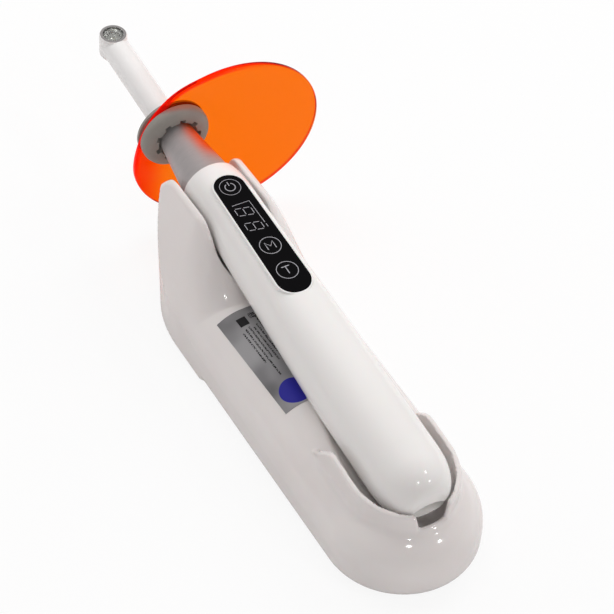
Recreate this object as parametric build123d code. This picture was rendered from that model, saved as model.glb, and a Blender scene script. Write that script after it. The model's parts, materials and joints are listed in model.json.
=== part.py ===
from build123d import *
from math import atan, cos, degrees, pi, radians, sin, tan
import os

# Dental curing light: a pen handpiece that lies in its charging cradle.
# Millimetres. The origin is the middle of the cradle's footprint on the table, +Z is up,
# +Y runs toward the light head and +X lies across.
# The handpiece's pieces are modelled in its own frame, where +Y is its axis toward the head,
# +Z is the side with the panel and the origin is the middle of the eye shield's ring.

# Cradle housing
base_beyond_handle = 25.3
base_width = 52.0
rear_oval = 38.0
foot_lift = 0.6
skirt_round = 4.0
deck_front_z = 23.9
deck_rear_z = 30.1
deck_round = 15.8
shell_wall = 2.2

# Ears at the rear of the cradle
ear_gap = 23.0
ear_top_z = 52.0
ear_top_width = 29.2
ear_back_inset = 5.5
ear_back_round = 9.0
ear_crest_length = 17.0
ear_fall_length = 27.0

# Collar round the handpiece's tail
collar_width = 36.6
collar_wall = 1.95
collar_front_inset = 8.3
collar_oval = 20.6
collar_above_axis = 0.5
collar_ramp_start = 10.0
collar_ramp_length = 16.0
notch_width = 11.0
notch_floor_width = 7.0
notch_floor_z = 23.5

# Where the handpiece lies
hub_beyond_base = 12.0
hub_z = 50.1
pen_tilt = 6.93
rest_gap = 0.3

# Handpiece housing: widths along it, from the front
front_width = 20.9
waist_width = 21.8
shoulder_length = 12.0
swell_length = 105.0
belly_width = 25.5
front_height = 10.95
panel_height = 12.6
handle_front = -26.7
handle_length = 146.3
handle_wall = 2.0
tail_length = 19.0
tail_side_length = 15.0
tail_top_length = 11.0
tail_tip_radius = 5.0
tail_tip_drop = 3.0
lip_round = 0.9

# Recess in the tail
tail_slot_width = 14.0
tail_slot_height = 5.0
tail_slot_depth = 4.0
tail_slot_z = -3.8
tail_lip_depth = 1.6

# Panel, keys and display
panel_length = 55.9
panel_front_width = 10.9
panel_rear_width = 11.9
panel_from_front = 8.4
panel_thickness = 1.0
panel_rim = 0.6
panel_gap = 0.05
key_radius = 3.8
key_gap = 0.08
key_travel = 0.4
key_length = 2.1
key_flange_radius = 4.4
key_flange = 0.5
power_at = -40.7
mode_at = -69.4
time_at = -81.1
display_at = -56.0
display_length = 15.0
display_width = 9.0
display_depth = 2.5
dome_radius = 2.2

# Inside the handpiece
board_width = 10.4
board_thickness = 1.0
board_from_front = 11.0
board_length = 92.0
tray_thickness = 1.5
cell_radius = 7.0
cell_length = 50.0
cell_from_front = 51.0
bulkhead = 2.0
slide_gap = 0.15
pad_radius = 2.0
pad_thickness = 0.8
contact_from_tail = 21.0
contact_pitch = 8.0

# Neck cone and light head
neck_root_radius = 9.4
neck_tip_radius = 5.2
neck_tip = 10.0
spigot_radius = 8.0
spigot_length = 10.5
neck_hollow_radius = 6.0
neck_bearing_length = 18.0
stem_radius = 4.0
running_gap = 0.05
swivel_gap = 0.3
seal_width = 0.96
tube_radius = 5.2
tube_bore = 3.3
head_end = 57.3
head_round = 2.2
clip_width = 1.0
clip_step = 0.7
lens_radius = 4.3
lens_edge = 0.8
lens_rise = 1.2
lens_ring_height = 0.8
lens_ring_width = 0.9
reflector_height = 2.8
led_board_thickness = 1.0
chip_side = 3.0
chip_height = 0.8
heat_pipe_radius = 1.5
lead_radius = 0.45
lead_offset = 2.4

# Eye shield
disc_radius = 36.4
disc_thickness = 1.9
disc_margin = 1.66
disc_turn = 27.9
ring_radius = 13.0
ring_far_lip = 1.25
groove_radius = 10.1
ring_near_depth = 1.45
ring_crown = 2.4
ring_mouth_radius = 7.5
ring_mouth_depth = 1.6
ring_gap = 0.08
slot_count = 9
slot_radius = 8.9
slot_width = 2.2
slot_turn = 1.0

# Inside the cradle
cover_thickness = 2.0
cover_gap = 0.15
cover_inset = 5.2
ledge_width = 2.0
ledge_thickness = 1.6
foot_radius = 5.0
foot_height = 1.6
foot_spread = 26.0
foot_from_end = 24.0
boss_radius = 3.4
boss_spread = 36.0
boss_from_end = 40.0
screw_radius = 1.25
screw_head_radius = 2.2
screw_head_height = 1.0
screw_length = 9.0
charger_length = 58.0
charger_width = 28.0
charger_thickness = 1.6
charger_before_contacts = 7.0
standoff_height = 2.5
standoff_radius = 2.5
standoff_inset = 5.0
standoff_front_inset = 13.0
socket_width = 9.0
socket_height = 9.6
socket_depth = 13.0
socket_inset = 3.0
socket_nose_radius = 4.0
socket_bore = 2.75
socket_pin_radius = 1.05
lead_thickness = 1.6
lead_pitch = 4.0
pin_radius = 1.1
pin_gap = 0.06
pin_length = 8.4
barrel_radius = 2.0
barrel_floor = 1.0

# Label on the deck
label_length = 45.5
label_width = 13.0
label_thickness = 0.15
label_x = -12.2
label_y = 6.0
label_turn = 1.8

# Worked out from the sizes above
base_length = handle_length + base_beyond_handle
reach = 4 * base_length
half_width = base_width / 2
ear_slot = ear_gap / 2
front_end_y = -base_length / 2
rear_end_y = base_length / 2
front_centre_y = front_end_y + half_width
rear_centre_y = rear_end_y - rear_oval
deck_slope = (deck_rear_z - deck_front_z) / base_length
hub_y = rear_end_y + hub_beyond_base
pen = Location((0, hub_y, hub_z), (pen_tilt, 0, 0))
tail_end = handle_front - handle_length
contact_at = tail_end + contact_from_tail
disc_offset = disc_radius - disc_margin - groove_radius - ring_gap
belly_radius = belly_width / 2
panel_floor = panel_height - panel_thickness
key_bottom = panel_height - key_length
board_top = panel_floor - display_depth
tray_top = board_top - board_thickness
cell_z = tray_top - tray_thickness - cell_radius
cell_front = handle_front - cell_from_front
pad_face = -belly_radius + (belly_radius - (belly_radius**2 - (contact_pitch / 2) ** 2) ** 0.5)
lens_at = head_end - tube_radius
pocket_half = collar_width / 2 - collar_wall
pocket_oval = collar_oval - collar_wall
collar_centre_y = front_end_y + collar_front_inset + collar_oval
cover_top = foot_lift + cover_thickness
charger_top = cover_top + standoff_height + charger_thickness
charger_front_y = (pen * Pos(0, contact_at, pad_face)).position.Y - charger_before_contacts
socket_z = cover_top + ledge_thickness + 0.1 + socket_height / 2
up = (Align.CENTER, Align.CENTER, Align.MIN)
down = (Align.CENTER, Align.CENTER, Align.MAX)


def axis_z(y):
    """Height of the handpiece's axis above the table at a place along the cradle."""
    return hub_z + tan(radians(pen_tilt)) * (y - hub_y)


def deck_z(y):
    """Height of the deck's middle above the table at a place along the cradle."""
    return deck_front_z + deck_slope * (y - front_end_y)


def rod(radius, start, end):
    """A round bar along the handpiece's axis between two places."""
    return Pos(0, start, 0) * extrude(Plane.XZ * Circle(radius), start - end)


def turned(corners):
    """A solid turned about the handpiece's axis from (radius, place) corners."""
    return revolve(make_face(Polyline(*corners, close=True)), Axis.Y)


def post(x, y, radius, low, high):
    """An upright cylinder between two heights."""
    return Pos(x, y, low) * Cylinder(radius, high - low, align=up)


def oval_arc(centre, across, along, start):
    """Half an ellipse that starts at an angle and runs counter-clockwise."""
    return EllipticalCenterArc(centre, across, along, start_angle=start, arc_size=180)


# Cradle outlines
def footprint(inset=0.0):
    """The cradle from above: a round front, straight sides and a half-oval rear."""
    half = half_width - inset
    outline = Curve() + [
        CenterArc((0, front_centre_y), half, 180, 180),
        Line((half, front_centre_y), (half, rear_centre_y)),
        oval_arc((0, rear_centre_y), half, rear_oval - inset, 0),
        Line((-half, rear_centre_y), (-half, front_centre_y)),
    ]
    return make_face(outline)


def pocket_outline(half, oval, back_y):
    """The pocket from above: straight sides, open to the rear, and a half-oval front."""
    outline = Curve() + [
        oval_arc((0, collar_centre_y), half, oval, 180),
        Line((half, collar_centre_y), (half, back_y)),
        Line((half, back_y), (-half, back_y)),
        Line((-half, back_y), (-half, collar_centre_y)),
    ]
    return make_face(outline)


def pebble(inset, bottom_z, bottom_round):
    """The cradle's lower body, drawn in by an inset, under the sloping rounded deck."""
    block = Pos(0, 0, bottom_z) * extrude(footprint(inset), 2 * deck_rear_z)
    above = Box(reach, reach, reach, align=up)
    block -= Pos(0, 0, deck_z(0) - inset) * Rot(X=degrees(atan(deck_slope))) * above
    block = fillet(block.faces().sort_by(Axis.Z)[-1].edges(), deck_round - inset)
    if bottom_round > 0:
        block = fillet(block.faces().sort_by(Axis.Z)[0].edges(), bottom_round)
    return block


def ear_section(y, top_z, rise):
    """One slice of the ears: just under the deck at rise 0, the full ear at rise 1."""
    low = foot_lift + skirt_round + 1.4
    foot_x = half_width + 0.5
    spring_z = deck_z(y) - deck_round - 4
    pull = 0.552 * deck_round
    crest_round = 2.1
    sunk = 1 - rise
    top_x = (half_width - deck_round - 1) * sunk + (ear_top_width / 2 - crest_round) * rise
    bend = [
        (foot_x, spring_z),
        (foot_x - 1.5 * rise - sunk, spring_z + 4 + pull * (1 + 0.6 * rise)),
        (top_x + (pull - 1.2) * sunk + crest_round * rise, top_z + 0.3 * rise),
        (top_x, top_z),
    ]
    mirrored = [(-x, z) for x, z in reversed(bend)]
    outline = Curve() + [
        Line((-foot_x, low), (foot_x, low)),
        Line((foot_x, low), bend[0]),
        Bezier(*bend),
        Line(bend[-1], mirrored[0]),
        Bezier(*mirrored),
        Line(mirrored[-1], (-foot_x, low)),
    ]
    return Location((0, y, 0), (90, 0, 0)) * make_face(outline)


def ears():
    """Both ears in one piece, before the handpiece's channel is cut between them."""
    back = rear_end_y - ear_back_inset
    crest = back - ear_back_round - ear_crest_length
    slices = []
    steps = 6
    for step in range(steps + 1):
        share = step / steps
        y = crest - ear_fall_length * (1 - share)
        rise = share**2 * (3 - 2 * share)
        top_z = (deck_z(y) - 1) * (1 - rise) + ear_top_z * rise
        slices.append(ear_section(y, top_z, rise))
    body = loft(slices) + extrude(slices[-1], crest - rear_end_y - 1)
    corner = Curve() + [
        Line((0, 0), (back, 0)),
        Line((back, 0), (back, ear_top_z - ear_back_round)),
        CenterArc((back - ear_back_round, ear_top_z - ear_back_round), ear_back_round, 0, 90),
        Line((back - ear_back_round, ear_top_z), (0, ear_top_z)),
        Line((0, ear_top_z), (0, 0)),
    ]
    side = extrude(Plane.YZ * make_face(corner), base_width, both=True)
    return body & side & extrude(footprint(), reach)


def collar():
    """The wall round the handpiece's tail, level with its axis, with a ramp at each side."""
    wall = extrude(pocket_outline(collar_width / 2, collar_oval, rear_centre_y), ear_top_z)
    wall -= extrude(pocket_outline(pocket_half, pocket_oval, rear_end_y), ear_top_z)
    top_y = collar_centre_y + collar_ramp_start
    tip_y = top_y + collar_ramp_length
    tip_z = deck_z(tip_y) - 0.18 * deck_round
    fall = tan(radians(pen_tilt))
    rim = [(y, axis_z(y) + collar_above_axis) for y in (top_y, front_end_y)]
    outline = Curve() + [
        Spline((tip_y, tip_z), rim[0], tangents=((-1, 0), (-1, -fall))),
        Line(*rim),
        Line(rim[1], (front_end_y, cover_top)),
        Line((front_end_y, cover_top), (tip_y, cover_top)),
        Line((tip_y, cover_top), (tip_y, tip_z)),
    ]
    wall &= extrude(Plane.YZ * make_face(outline), base_width, both=True)
    return wall & extrude(footprint(shell_wall), reach)


# The handpiece's outer form
def handle_section(station, half, top, bottom, square):
    """A closed slice of the handle: round below, squarer above, at a place on its axis."""
    corners = []
    steps = 24
    for step in range(steps):
        turn = 2 * pi * step / steps
        power = 2 / square if sin(turn) > 0 else 1
        height = top if sin(turn) > 0 else bottom
        x = half * abs(cos(turn)) ** power * (1 if cos(turn) > 0 else -1)
        z = height * abs(sin(turn)) ** power * (1 if sin(turn) > 0 else -1)
        corners.append((x, z))
    return Location((0, station, 0), (90, 0, 0)) * make_face(Spline(*corners, periodic=True))


def eased(value, start, end):
    """How far a value has gone from a start to an end, from 0 to 1 and gently at both."""
    share = min(1, max(0, (value - start) / (end - start)))
    return share**2 * (3 - 2 * share)


def handle_form(inset=0.0):
    """The handle's outer form up to its round tail, or that form drawn in by an inset."""
    slices = []
    steps = 20
    for step in range(steps + 1):
        length = (handle_length - tail_length) * step / steps
        swell = eased(length, shoulder_length, swell_length)
        rise = eased(length, -shoulder_length, shoulder_length)
        half = front_width / 2 + (belly_radius - front_width / 2) * swell
        level = panel_height + (belly_radius - panel_height) * swell
        top = level - 2 * (panel_height - front_height) * (1 - rise)
        square = 2 + 1.4 * (rise - 0.5) * (1 - swell)
        at = handle_front - length
        slices.append(handle_section(at, half - inset, top - inset, half - inset, square))
    return loft(slices, ruled=True)


def nose_half(depth, length, tip):
    """How far the round end reaches to one side: a quarter oval of that length down to a tip."""
    share = max(0, 1 - (tail_length - depth) / length)
    return tip + (belly_radius - tip) * (1 - share**2) ** 0.5


def handle_nose():
    """The round end of the handle, whose underside rises sooner than its top falls."""
    start = tail_end + tail_length
    slices = []
    steps = 14
    for step in range(steps + 1):
        depth = (tail_length - 0.02) * sin(pi / 2 * step / steps)
        half = nose_half(depth, tail_side_length, tail_tip_radius)
        top = nose_half(depth, tail_top_length, tail_tip_radius)
        bottom = nose_half(depth, tail_length, tail_tip_drop)
        slices.append(handle_section(start - depth, half, top, bottom, 2.0))
    return loft(slices, ruled=True)


def stadium(grow):
    """The panel's outline in plan: two round ends of different widths."""
    front = panel_front_width / 2
    rear = panel_rear_width / 2
    first = handle_front - panel_from_front - front
    last = handle_front - panel_from_front - panel_length + rear
    ends = [Pos(0, first) * Circle(front + grow), Pos(0, last) * Circle(rear + grow)]
    return make_hull([edge for end in ends for edge in end.edges()])


def trough(outset, back_y):
    """The space for the handpiece in the cradle: a round floor that widens toward the tail."""
    half_belly = belly_radius + rest_gap
    half_waist = waist_width / 2 + rest_gap
    stations = [
        (-12.0, ear_slot, half_waist),
        (-60.0, ear_slot, half_waist),
        (-80.0, ear_slot, half_waist + 0.5),
        (-105.0, ear_slot + 0.4, half_belly - 0.4),
        (-122.0, ear_slot + 1.4, half_belly),
        (-135.0, pocket_half - 0.8, half_belly),
        (-146.0, pocket_half, half_belly),
        (-190.0, pocket_half, half_belly),
    ]
    slices = []
    for at, half, depth in stations:
        half += outset
        depth += outset
        outline = Curve() + [
            oval_arc((0, 0), half, depth, 180),
            Line((half, 0), (half, 2 * ear_top_z)),
            Line((half, 2 * ear_top_z), (-half, 2 * ear_top_z)),
            Line((-half, 2 * ear_top_z), (-half, 0)),
        ]
        slices.append(Location((0, at, 0), (90, 0, 0)) * make_face(outline))
    space = pen * loft(slices, ruled=True)
    plan = pocket_outline(pocket_half + outset, pocket_oval + outset, back_y)
    return space & Pos(0, 0, -reach / 2) * extrude(plan, reach)


# Cradle pieces
def screw_places():
    """Where the four cover screws stand."""
    front = front_end_y + boss_from_end
    rear = rear_end_y - boss_from_end
    return [(side * boss_spread / 2, y) for y in (front, rear) for side in (-1, 1)]


def foot_places():
    """Where the four feet stand."""
    front = front_end_y + foot_from_end
    rear = rear_end_y - foot_from_end
    return [(side * foot_spread / 2, y) for y in (front, rear) for side in (-1, 1)]


def contact_places():
    """Where the two charging contacts stand in the cradle, as (x, y)."""
    y = (pen * Pos(0, contact_at, pad_face)).position.Y
    return [(side * contact_pitch / 2, y) for side in (-1, 1)]


def pin_top():
    """Height of a charging contact's tip at rest, just under the pad."""
    return (pen * Pos(0, contact_at, pad_face)).position.Z - rest_gap


def base_shell():
    """The cradle's housing: deck, ears, collar, pocket, hollow underside and screw bosses."""
    outer = pebble(0, foot_lift, skirt_round) + ears() + collar()
    cavity_floor = cover_top + ledge_thickness
    hollow = pebble(shell_wall, cavity_floor, 0)
    hollow -= trough(shell_wall, rear_end_y)
    for x, y in screw_places():
        hollow -= post(x, y, boss_radius, 0, deck_rear_z)
    shell = outer - hollow - trough(0, reach)
    shell -= extrude(footprint(cover_inset + ledge_width), cavity_floor)
    shell -= extrude(footprint(cover_inset), cover_top)
    for x, y in screw_places():
        shell += post(x, y, boss_radius, cover_top, cavity_floor + 0.1)
        shell -= post(x, y, screw_radius + running_gap, 0, foot_lift + screw_head_height + screw_length + 0.5)
    for x, y in contact_places():
        shell -= post(x, y, pin_radius + slide_gap, cavity_floor, ear_top_z)
    notch = Polyline(
        (-notch_floor_width / 2, notch_floor_z),
        (notch_floor_width / 2, notch_floor_z),
        (notch_width / 2, axis_z(front_end_y)),
        (notch_width / 2, ear_top_z),
        (-notch_width / 2, ear_top_z),
        (-notch_width / 2, axis_z(front_end_y)),
        close=True,
    )
    shell -= Pos(0, collar_centre_y, 0) * extrude(Plane.XZ * make_face(notch), base_width)
    nose = Plane.XZ * Circle(socket_nose_radius + cover_gap)
    shell -= Pos(0, rear_end_y + 1, socket_z) * extrude(nose, socket_inset + 1 + shell_wall)
    return shell


def bottom_cover():
    """The closing plate, with foot pockets, screw holes and standoffs for the board."""
    plate = Pos(0, 0, foot_lift) * extrude(footprint(cover_inset + cover_gap), cover_thickness)
    for x, y in foot_places():
        plate -= post(x, y, foot_radius + cover_gap, 0, foot_height)
    for x, y in screw_places():
        plate -= post(x, y, screw_radius + cover_gap, 0, cover_top)
        plate -= post(x, y, screw_head_radius + cover_gap, 0, foot_lift + screw_head_height)
    for x, y in standoff_places():
        plate += post(x, y, standoff_radius, cover_top, cover_top + standoff_height)
    return plate


def standoff_places():
    """Where the board's standoffs stand on the cover."""
    side = charger_width / 2 - standoff_inset
    front = charger_front_y + standoff_front_inset
    rear = charger_front_y + charger_length - standoff_inset
    return [(x, y) for y in (front, rear) for x in (-side, side)]


def charging_board():
    """The charger's circuit board on its standoffs."""
    middle = charger_front_y + charger_length / 2
    return Pos(0, middle, cover_top + standoff_height) * Box(
        charger_width, charger_length, charger_thickness, align=up
    )


def cover_screws():
    """Four screws with flat heads under the cover."""
    seat = foot_lift + screw_head_height
    return [
        post(x, y, screw_head_radius, foot_lift, seat) + post(x, y, screw_radius, seat, seat + screw_length)
        for x, y in screw_places()
    ]


def rubber_feet():
    """Four round feet in the cover's pockets."""
    return [chamfer_top(post(x, y, foot_radius, 0, foot_height)) for x, y in foot_places()]


def chamfer_top(foot):
    """Breaks the edge that meets the table."""
    return chamfer(foot.faces().sort_by(Axis.Z)[0].edges(), foot_lift / 2)


def dc_socket():
    """The power inlet: a square body, a round nose through the wall, a bore and its pin."""
    face_y = rear_end_y - socket_inset
    body = Pos(0, face_y - socket_depth / 2, socket_z) * Box(socket_width, socket_depth, socket_height)
    nose_end = rear_end_y - rest_gap
    body += Pos(0, nose_end, socket_z) * extrude(Plane.XZ * Circle(socket_nose_radius), socket_inset)
    depth = socket_depth - socket_inset
    bore = Plane.XZ * (Circle(socket_bore) - Circle(socket_pin_radius))
    return body - Pos(0, nose_end + 0.1, socket_z) * extrude(bore, depth)


def socket_leads():
    """Two leads from the inlet to the charger's board."""
    start = charger_front_y + charger_length + rest_gap
    end = rear_end_y - socket_inset - socket_depth - rest_gap
    wire = Plane.XZ * Circle(lead_thickness / 2)
    height = charger_top - charger_thickness / 2
    return [Pos(side * lead_pitch / 2, end, height) * extrude(wire, end - start) for side in (-1, 1)]


def contact_barrels():
    """Two fixed barrels on the board that guide the sprung contacts."""
    top = pin_top() - shell_wall - 3 * rest_gap
    bore_floor = charger_top + barrel_floor
    return [
        post(x, y, barrel_radius, charger_top, top) - post(x, y, pin_radius + pin_gap, bore_floor, top)
        for x, y in contact_places()
    ]


def contact_pin(place):
    """A sprung contact with a round tip."""
    x, y = place
    pin = post(x, y, pin_radius, pin_top() - pin_length, pin_top())
    return fillet(pin.faces().sort_by(Axis.Z)[-1].edges(), 0.9 * pin_radius)


def label_foil():
    """Thin foil that follows the deck's rounding beside the handpiece."""
    sheet = pebble(-label_thickness, foot_lift, 0) - pebble(0, foot_lift, 0)
    window = Pos(label_x, label_y, 0) * Rot(Z=label_turn) * Box(label_width, label_length, reach)
    upper = Pos(0, 0, deck_front_z - deck_round / 2) * Box(reach, reach, reach, align=up)
    return sheet & window & upper - trough(1.0, reach) - ears()


# Handpiece pieces
def key_places():
    """Where the three keys stand along the panel."""
    return {"key_power": power_at, "key_mode": mode_at, "key_time": time_at}


def tail_slot(shrink=0.0):
    """The recess in the tail, or a piece that fits in it."""
    half = tail_slot_width / 2 - shrink
    rise = tail_slot_height - 2 * shrink
    arch = Curve() + [
        oval_arc((0, 0), half, rise, 0),
        Line((-half, 0), (half, 0)),
    ]
    slot = extrude(Plane.XZ * make_face(arch), tail_slot_depth + 1)
    return Pos(0, tail_end + tail_slot_depth, tail_slot_z + shrink) * slot


def handle_shell():
    """The handpiece's housing with its land, panel seat, key holes, hollow and tail recess."""
    body = handle_form() + handle_nose()
    body = fillet(body.faces().sort_by(Axis.Y)[-1].edges(), lip_round)
    land = Pos(0, 0, panel_floor / 2) * extrude(stadium(panel_rim), panel_height - panel_floor / 2)
    body += fillet(land.faces().sort_by(Axis.Z)[-1].edges(), panel_rim / 2)
    body -= Pos(0, 0, panel_floor) * extrude(stadium(panel_gap), panel_thickness + 1)
    hollow = handle_form(handle_wall)
    hollow &= Pos(0, handle_front - spigot_length - reach / 2, 0) * Box(reach, reach, reach)
    hollow &= Pos(0, tail_end + tail_length + reach / 2, 0) * Box(reach, reach, reach)
    body -= hollow
    body -= rod(spigot_radius + running_gap, handle_front - spigot_length - 1, handle_front + 1)
    body -= Pos(0, display_at, 0) * Box(
        display_width + 2 * panel_gap, display_length + 2 * panel_gap, panel_height, align=up
    )
    for at in key_places().values():
        body -= post(0, at, key_radius + key_gap, 0, panel_height)
        body -= post(0, at, key_flange_radius + slide_gap, 0, key_bottom + key_flange + slide_gap)
    for x in (-contact_pitch / 2, contact_pitch / 2):
        body -= post(x, contact_at, pad_radius + panel_gap, -reach / 2, pad_face + pad_thickness)
    return body - tail_slot()


def panel_window():
    """The gloss black panel with its three round holes."""
    plate = Pos(0, 0, panel_floor) * extrude(stadium(0), panel_thickness)
    for at in key_places().values():
        plate -= post(0, at, key_radius + key_gap, 0, reach)
    return plate


def key(at):
    """A round key with the flange that keeps it under the panel."""
    return post(0, at, key_radius, key_bottom, panel_height) + post(
        0, at, key_flange_radius, key_bottom, key_bottom + key_flange
    )


def switch_domes():
    """Three snap domes on the board, one under each key."""
    top = key_bottom - key_travel - running_gap
    return [post(0, at, dome_radius, board_top, top) for at in key_places().values()]


def display_module():
    """The two-digit display between the board and the panel."""
    return Pos(0, display_at, board_top) * Box(display_width, display_length, display_depth, align=up)


def main_board():
    """The long circuit board under the panel."""
    middle = handle_front - board_from_front - board_length / 2
    return Pos(0, middle, tray_top) * Box(board_width, board_length, board_thickness, align=up)


def inner_frame():
    """The carrier: a tray under the board and two round bulkheads that hold the cell."""
    middle = handle_front - board_from_front - board_length / 2
    tray = Pos(0, middle, tray_top) * Box(board_width, board_length, tray_thickness, align=down)
    inside = handle_form(handle_wall + slide_gap)
    inside &= Pos(0, 0, tray_top) * Box(reach, reach, reach, align=down)
    for start in (cell_front + bulkhead, cell_front - cell_length):
        tray += inside & Pos(0, start - bulkhead / 2, 0) * Box(reach, bulkhead, reach)
    return tray - battery_cell()


def battery_cell():
    """The cylindrical cell under the board."""
    return Pos(0, 0, cell_z) * rod(cell_radius, cell_front - cell_length, cell_front)


def charging_pads():
    """Two contact pads set into the underside of the tail."""
    return [
        post(side * contact_pitch / 2, contact_at, pad_radius, pad_face, pad_face + pad_thickness)
        for side in (-1, 1)
    ]


def tail_insert():
    """The light-coloured lip at the bottom of the tail recess."""
    lip = tail_slot(panel_gap)
    return lip & Pos(0, tail_end + tail_slot_depth, 0) * Box(reach, 2 * tail_lip_depth, reach)


def neck_radius(at):
    """The neck cone's radius at a place along the axis."""
    share = (at - handle_front) / (neck_tip - handle_front)
    return neck_root_radius + (neck_tip_radius - neck_root_radius) * share


def neck_cone():
    """The aluminium cone, its spigot in the handle and its bearing for the head's stem."""
    bore = stem_radius + running_gap
    step = neck_tip - neck_bearing_length
    back = handle_front - spigot_length
    groove_low = handle_front - spigot_length / 2 - seal_width / 2 - running_gap
    groove_high = groove_low + seal_width + 2 * running_gap
    groove = spigot_radius - seal_width + running_gap
    return turned(
        [
            (bore, neck_tip),
            (neck_tip_radius, neck_tip),
            (neck_root_radius, handle_front),
            (spigot_radius, handle_front),
            (spigot_radius, groove_high),
            (groove, groove_high),
            (groove, groove_low),
            (spigot_radius, groove_low),
            (spigot_radius, back),
            (neck_hollow_radius, back),
            (neck_hollow_radius, step),
            (bore, step),
        ]
    )


def spigot_seal():
    """The sealing ring in the spigot's groove."""
    middle = handle_front - spigot_length / 2
    radius = spigot_radius + running_gap - seal_width / 2
    section = Pos(radius, middle) * Circle(seal_width / 2 - running_gap / 2)
    return revolve(section, Axis.Y)


# Light head pieces
def head_tube():
    """The white tube: stem in the neck, rounded end, and the lens well across it."""
    stem_back = neck_tip - neck_bearing_length - swivel_gap - clip_width
    body = rod(tube_radius, neck_tip + swivel_gap, lens_at)
    end = post(0, lens_at, tube_radius, -tube_radius, tube_radius)
    end = fillet(end.faces().sort_by(Axis.Z)[-1].edges(), lens_ring_height)
    body += fillet(end.faces().sort_by(Axis.Z)[0].edges(), head_round)
    body += rod(stem_radius, stem_back, neck_tip + swivel_gap + 1)
    body -= rod(tube_bore, stem_back - 1, lens_at - tube_radius / 2)
    floor = tube_radius - lens_ring_height - lens_edge - reflector_height - led_board_thickness
    body -= post(0, lens_at, lens_radius + running_gap, floor, reach)
    ring_radius_out = lens_radius + lens_ring_width / 2 + running_gap
    body -= post(0, lens_at, ring_radius_out, tube_radius - lens_ring_height, reach)
    clip_seat = turned(
        [
            (stem_radius - clip_step / 2, stem_back),
            (stem_radius + 1, stem_back),
            (stem_radius + 1, stem_back + clip_width),
            (stem_radius - clip_step / 2, stem_back + clip_width),
        ]
    )
    return body - clip_seat


def swivel_clip():
    """The ring that keeps the stem in the neck."""
    end = neck_tip - neck_bearing_length - swivel_gap - running_gap / 2
    length = clip_width - running_gap
    inner = stem_radius - clip_step / 2 + running_gap / 2
    return rod(stem_radius + clip_step, end - length, end) - rod(inner, end - length, end)


def light_stack():
    """The light source's layers from the bottom up, as (name, solid)."""
    board_low = tube_radius - lens_ring_height - lens_edge - reflector_height - led_board_thickness
    board_high = board_low + led_board_thickness
    cup_high = board_high + reflector_height
    lens_high = cup_high + lens_edge
    board = post(0, lens_at, lens_radius, board_low, board_high)
    chip = Pos(0, lens_at, board_high) * Box(chip_side, chip_side, chip_height, align=up)
    cup = post(0, lens_at, lens_radius, board_high, cup_high)
    cone = Pos(0, lens_at, board_high) * Cone(chip_side * 0.75, lens_radius - 0.5, reflector_height, align=up)
    lens = post(0, lens_at, lens_radius, cup_high, lens_high)
    dome_radius_top = lens_radius - lens_ring_width / 2 - running_gap
    ball = (dome_radius_top**2 + lens_rise**2) / (2 * lens_rise)
    dome = Pos(0, lens_at, lens_high + lens_rise - ball) * Sphere(ball)
    dome &= post(0, lens_at, dome_radius_top, lens_high - 0.1, reach)
    rim = post(0, lens_at, lens_radius + lens_ring_width / 2, lens_high, tube_radius)
    rim -= post(0, lens_at, lens_radius - lens_ring_width / 2, 0, reach)
    return {
        "led_board": board,
        "led_chip": chip,
        "reflector": cup - cone,
        "lens": lens + dome,
        "lens_ring": rim,
    }


def heat_pipe():
    """The copper rod that carries heat back along the tube."""
    return rod(heat_pipe_radius, neck_tip - neck_bearing_length, lens_at - lens_radius - rest_gap)


def head_leads():
    """The two leads beside the heat pipe."""
    start = neck_tip - neck_bearing_length - 2
    return [
        Pos(side * lead_offset, 0, 0) * rod(lead_radius, start, lens_at - lens_radius - rest_gap)
        for side in (-1, 1)
    ]


# Eye shield pieces
def shield_ring():
    """The rubber ring: crowned near face, groove for the disc, far lip and toothed bore."""
    near = -ring_crown
    far = ring_near_depth + disc_thickness + ring_far_lip
    mouth = near + ring_mouth_depth
    body = turned(
        [
            (ring_mouth_radius, near),
            (ring_radius, 0),
            (ring_radius, ring_near_depth),
            (groove_radius, ring_near_depth),
            (groove_radius, ring_near_depth + disc_thickness),
            (ring_radius, ring_near_depth + disc_thickness),
            (ring_radius, far),
            (neck_radius(far) + ring_gap, far),
            (neck_radius(mouth) + ring_gap, mouth),
        ]
    )
    for count in range(slot_count):
        turn = (count + slot_turn) * 360 / slot_count
        cut = Pos(slot_radius / 2, far / 2, 0) * Box(slot_radius, 3 * far, slot_width)
        body -= Rot(Y=-turn) * (cut & rod(slot_radius, -2 * far, 3 * far))
    return body


def shield_disc():
    """The round filter, set off to one side of the ring."""
    disc = Rot(Z=-disc_turn) * Pos(disc_offset, 0) * Circle(disc_radius)
    plate = disc - Circle(groove_radius + ring_gap)
    near = ring_near_depth + ring_gap / 2
    return Pos(0, near, 0) * extrude(Plane.XZ * plate, ring_gap - disc_thickness)


def write(name, shape):
    """Writes one piece, or a group of like pieces, to its own file."""
    if isinstance(shape, list):
        shape = Compound(children=[Part() + piece for piece in shape])
    export_step(shape, f"parts/{name}.step")


def in_handpiece(shape):
    """Moves a piece, or each of a group, to where the handpiece lies."""
    if isinstance(shape, list):
        return [pen * piece for piece in shape]
    return pen * shape


os.makedirs("parts", exist_ok=True)

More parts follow.
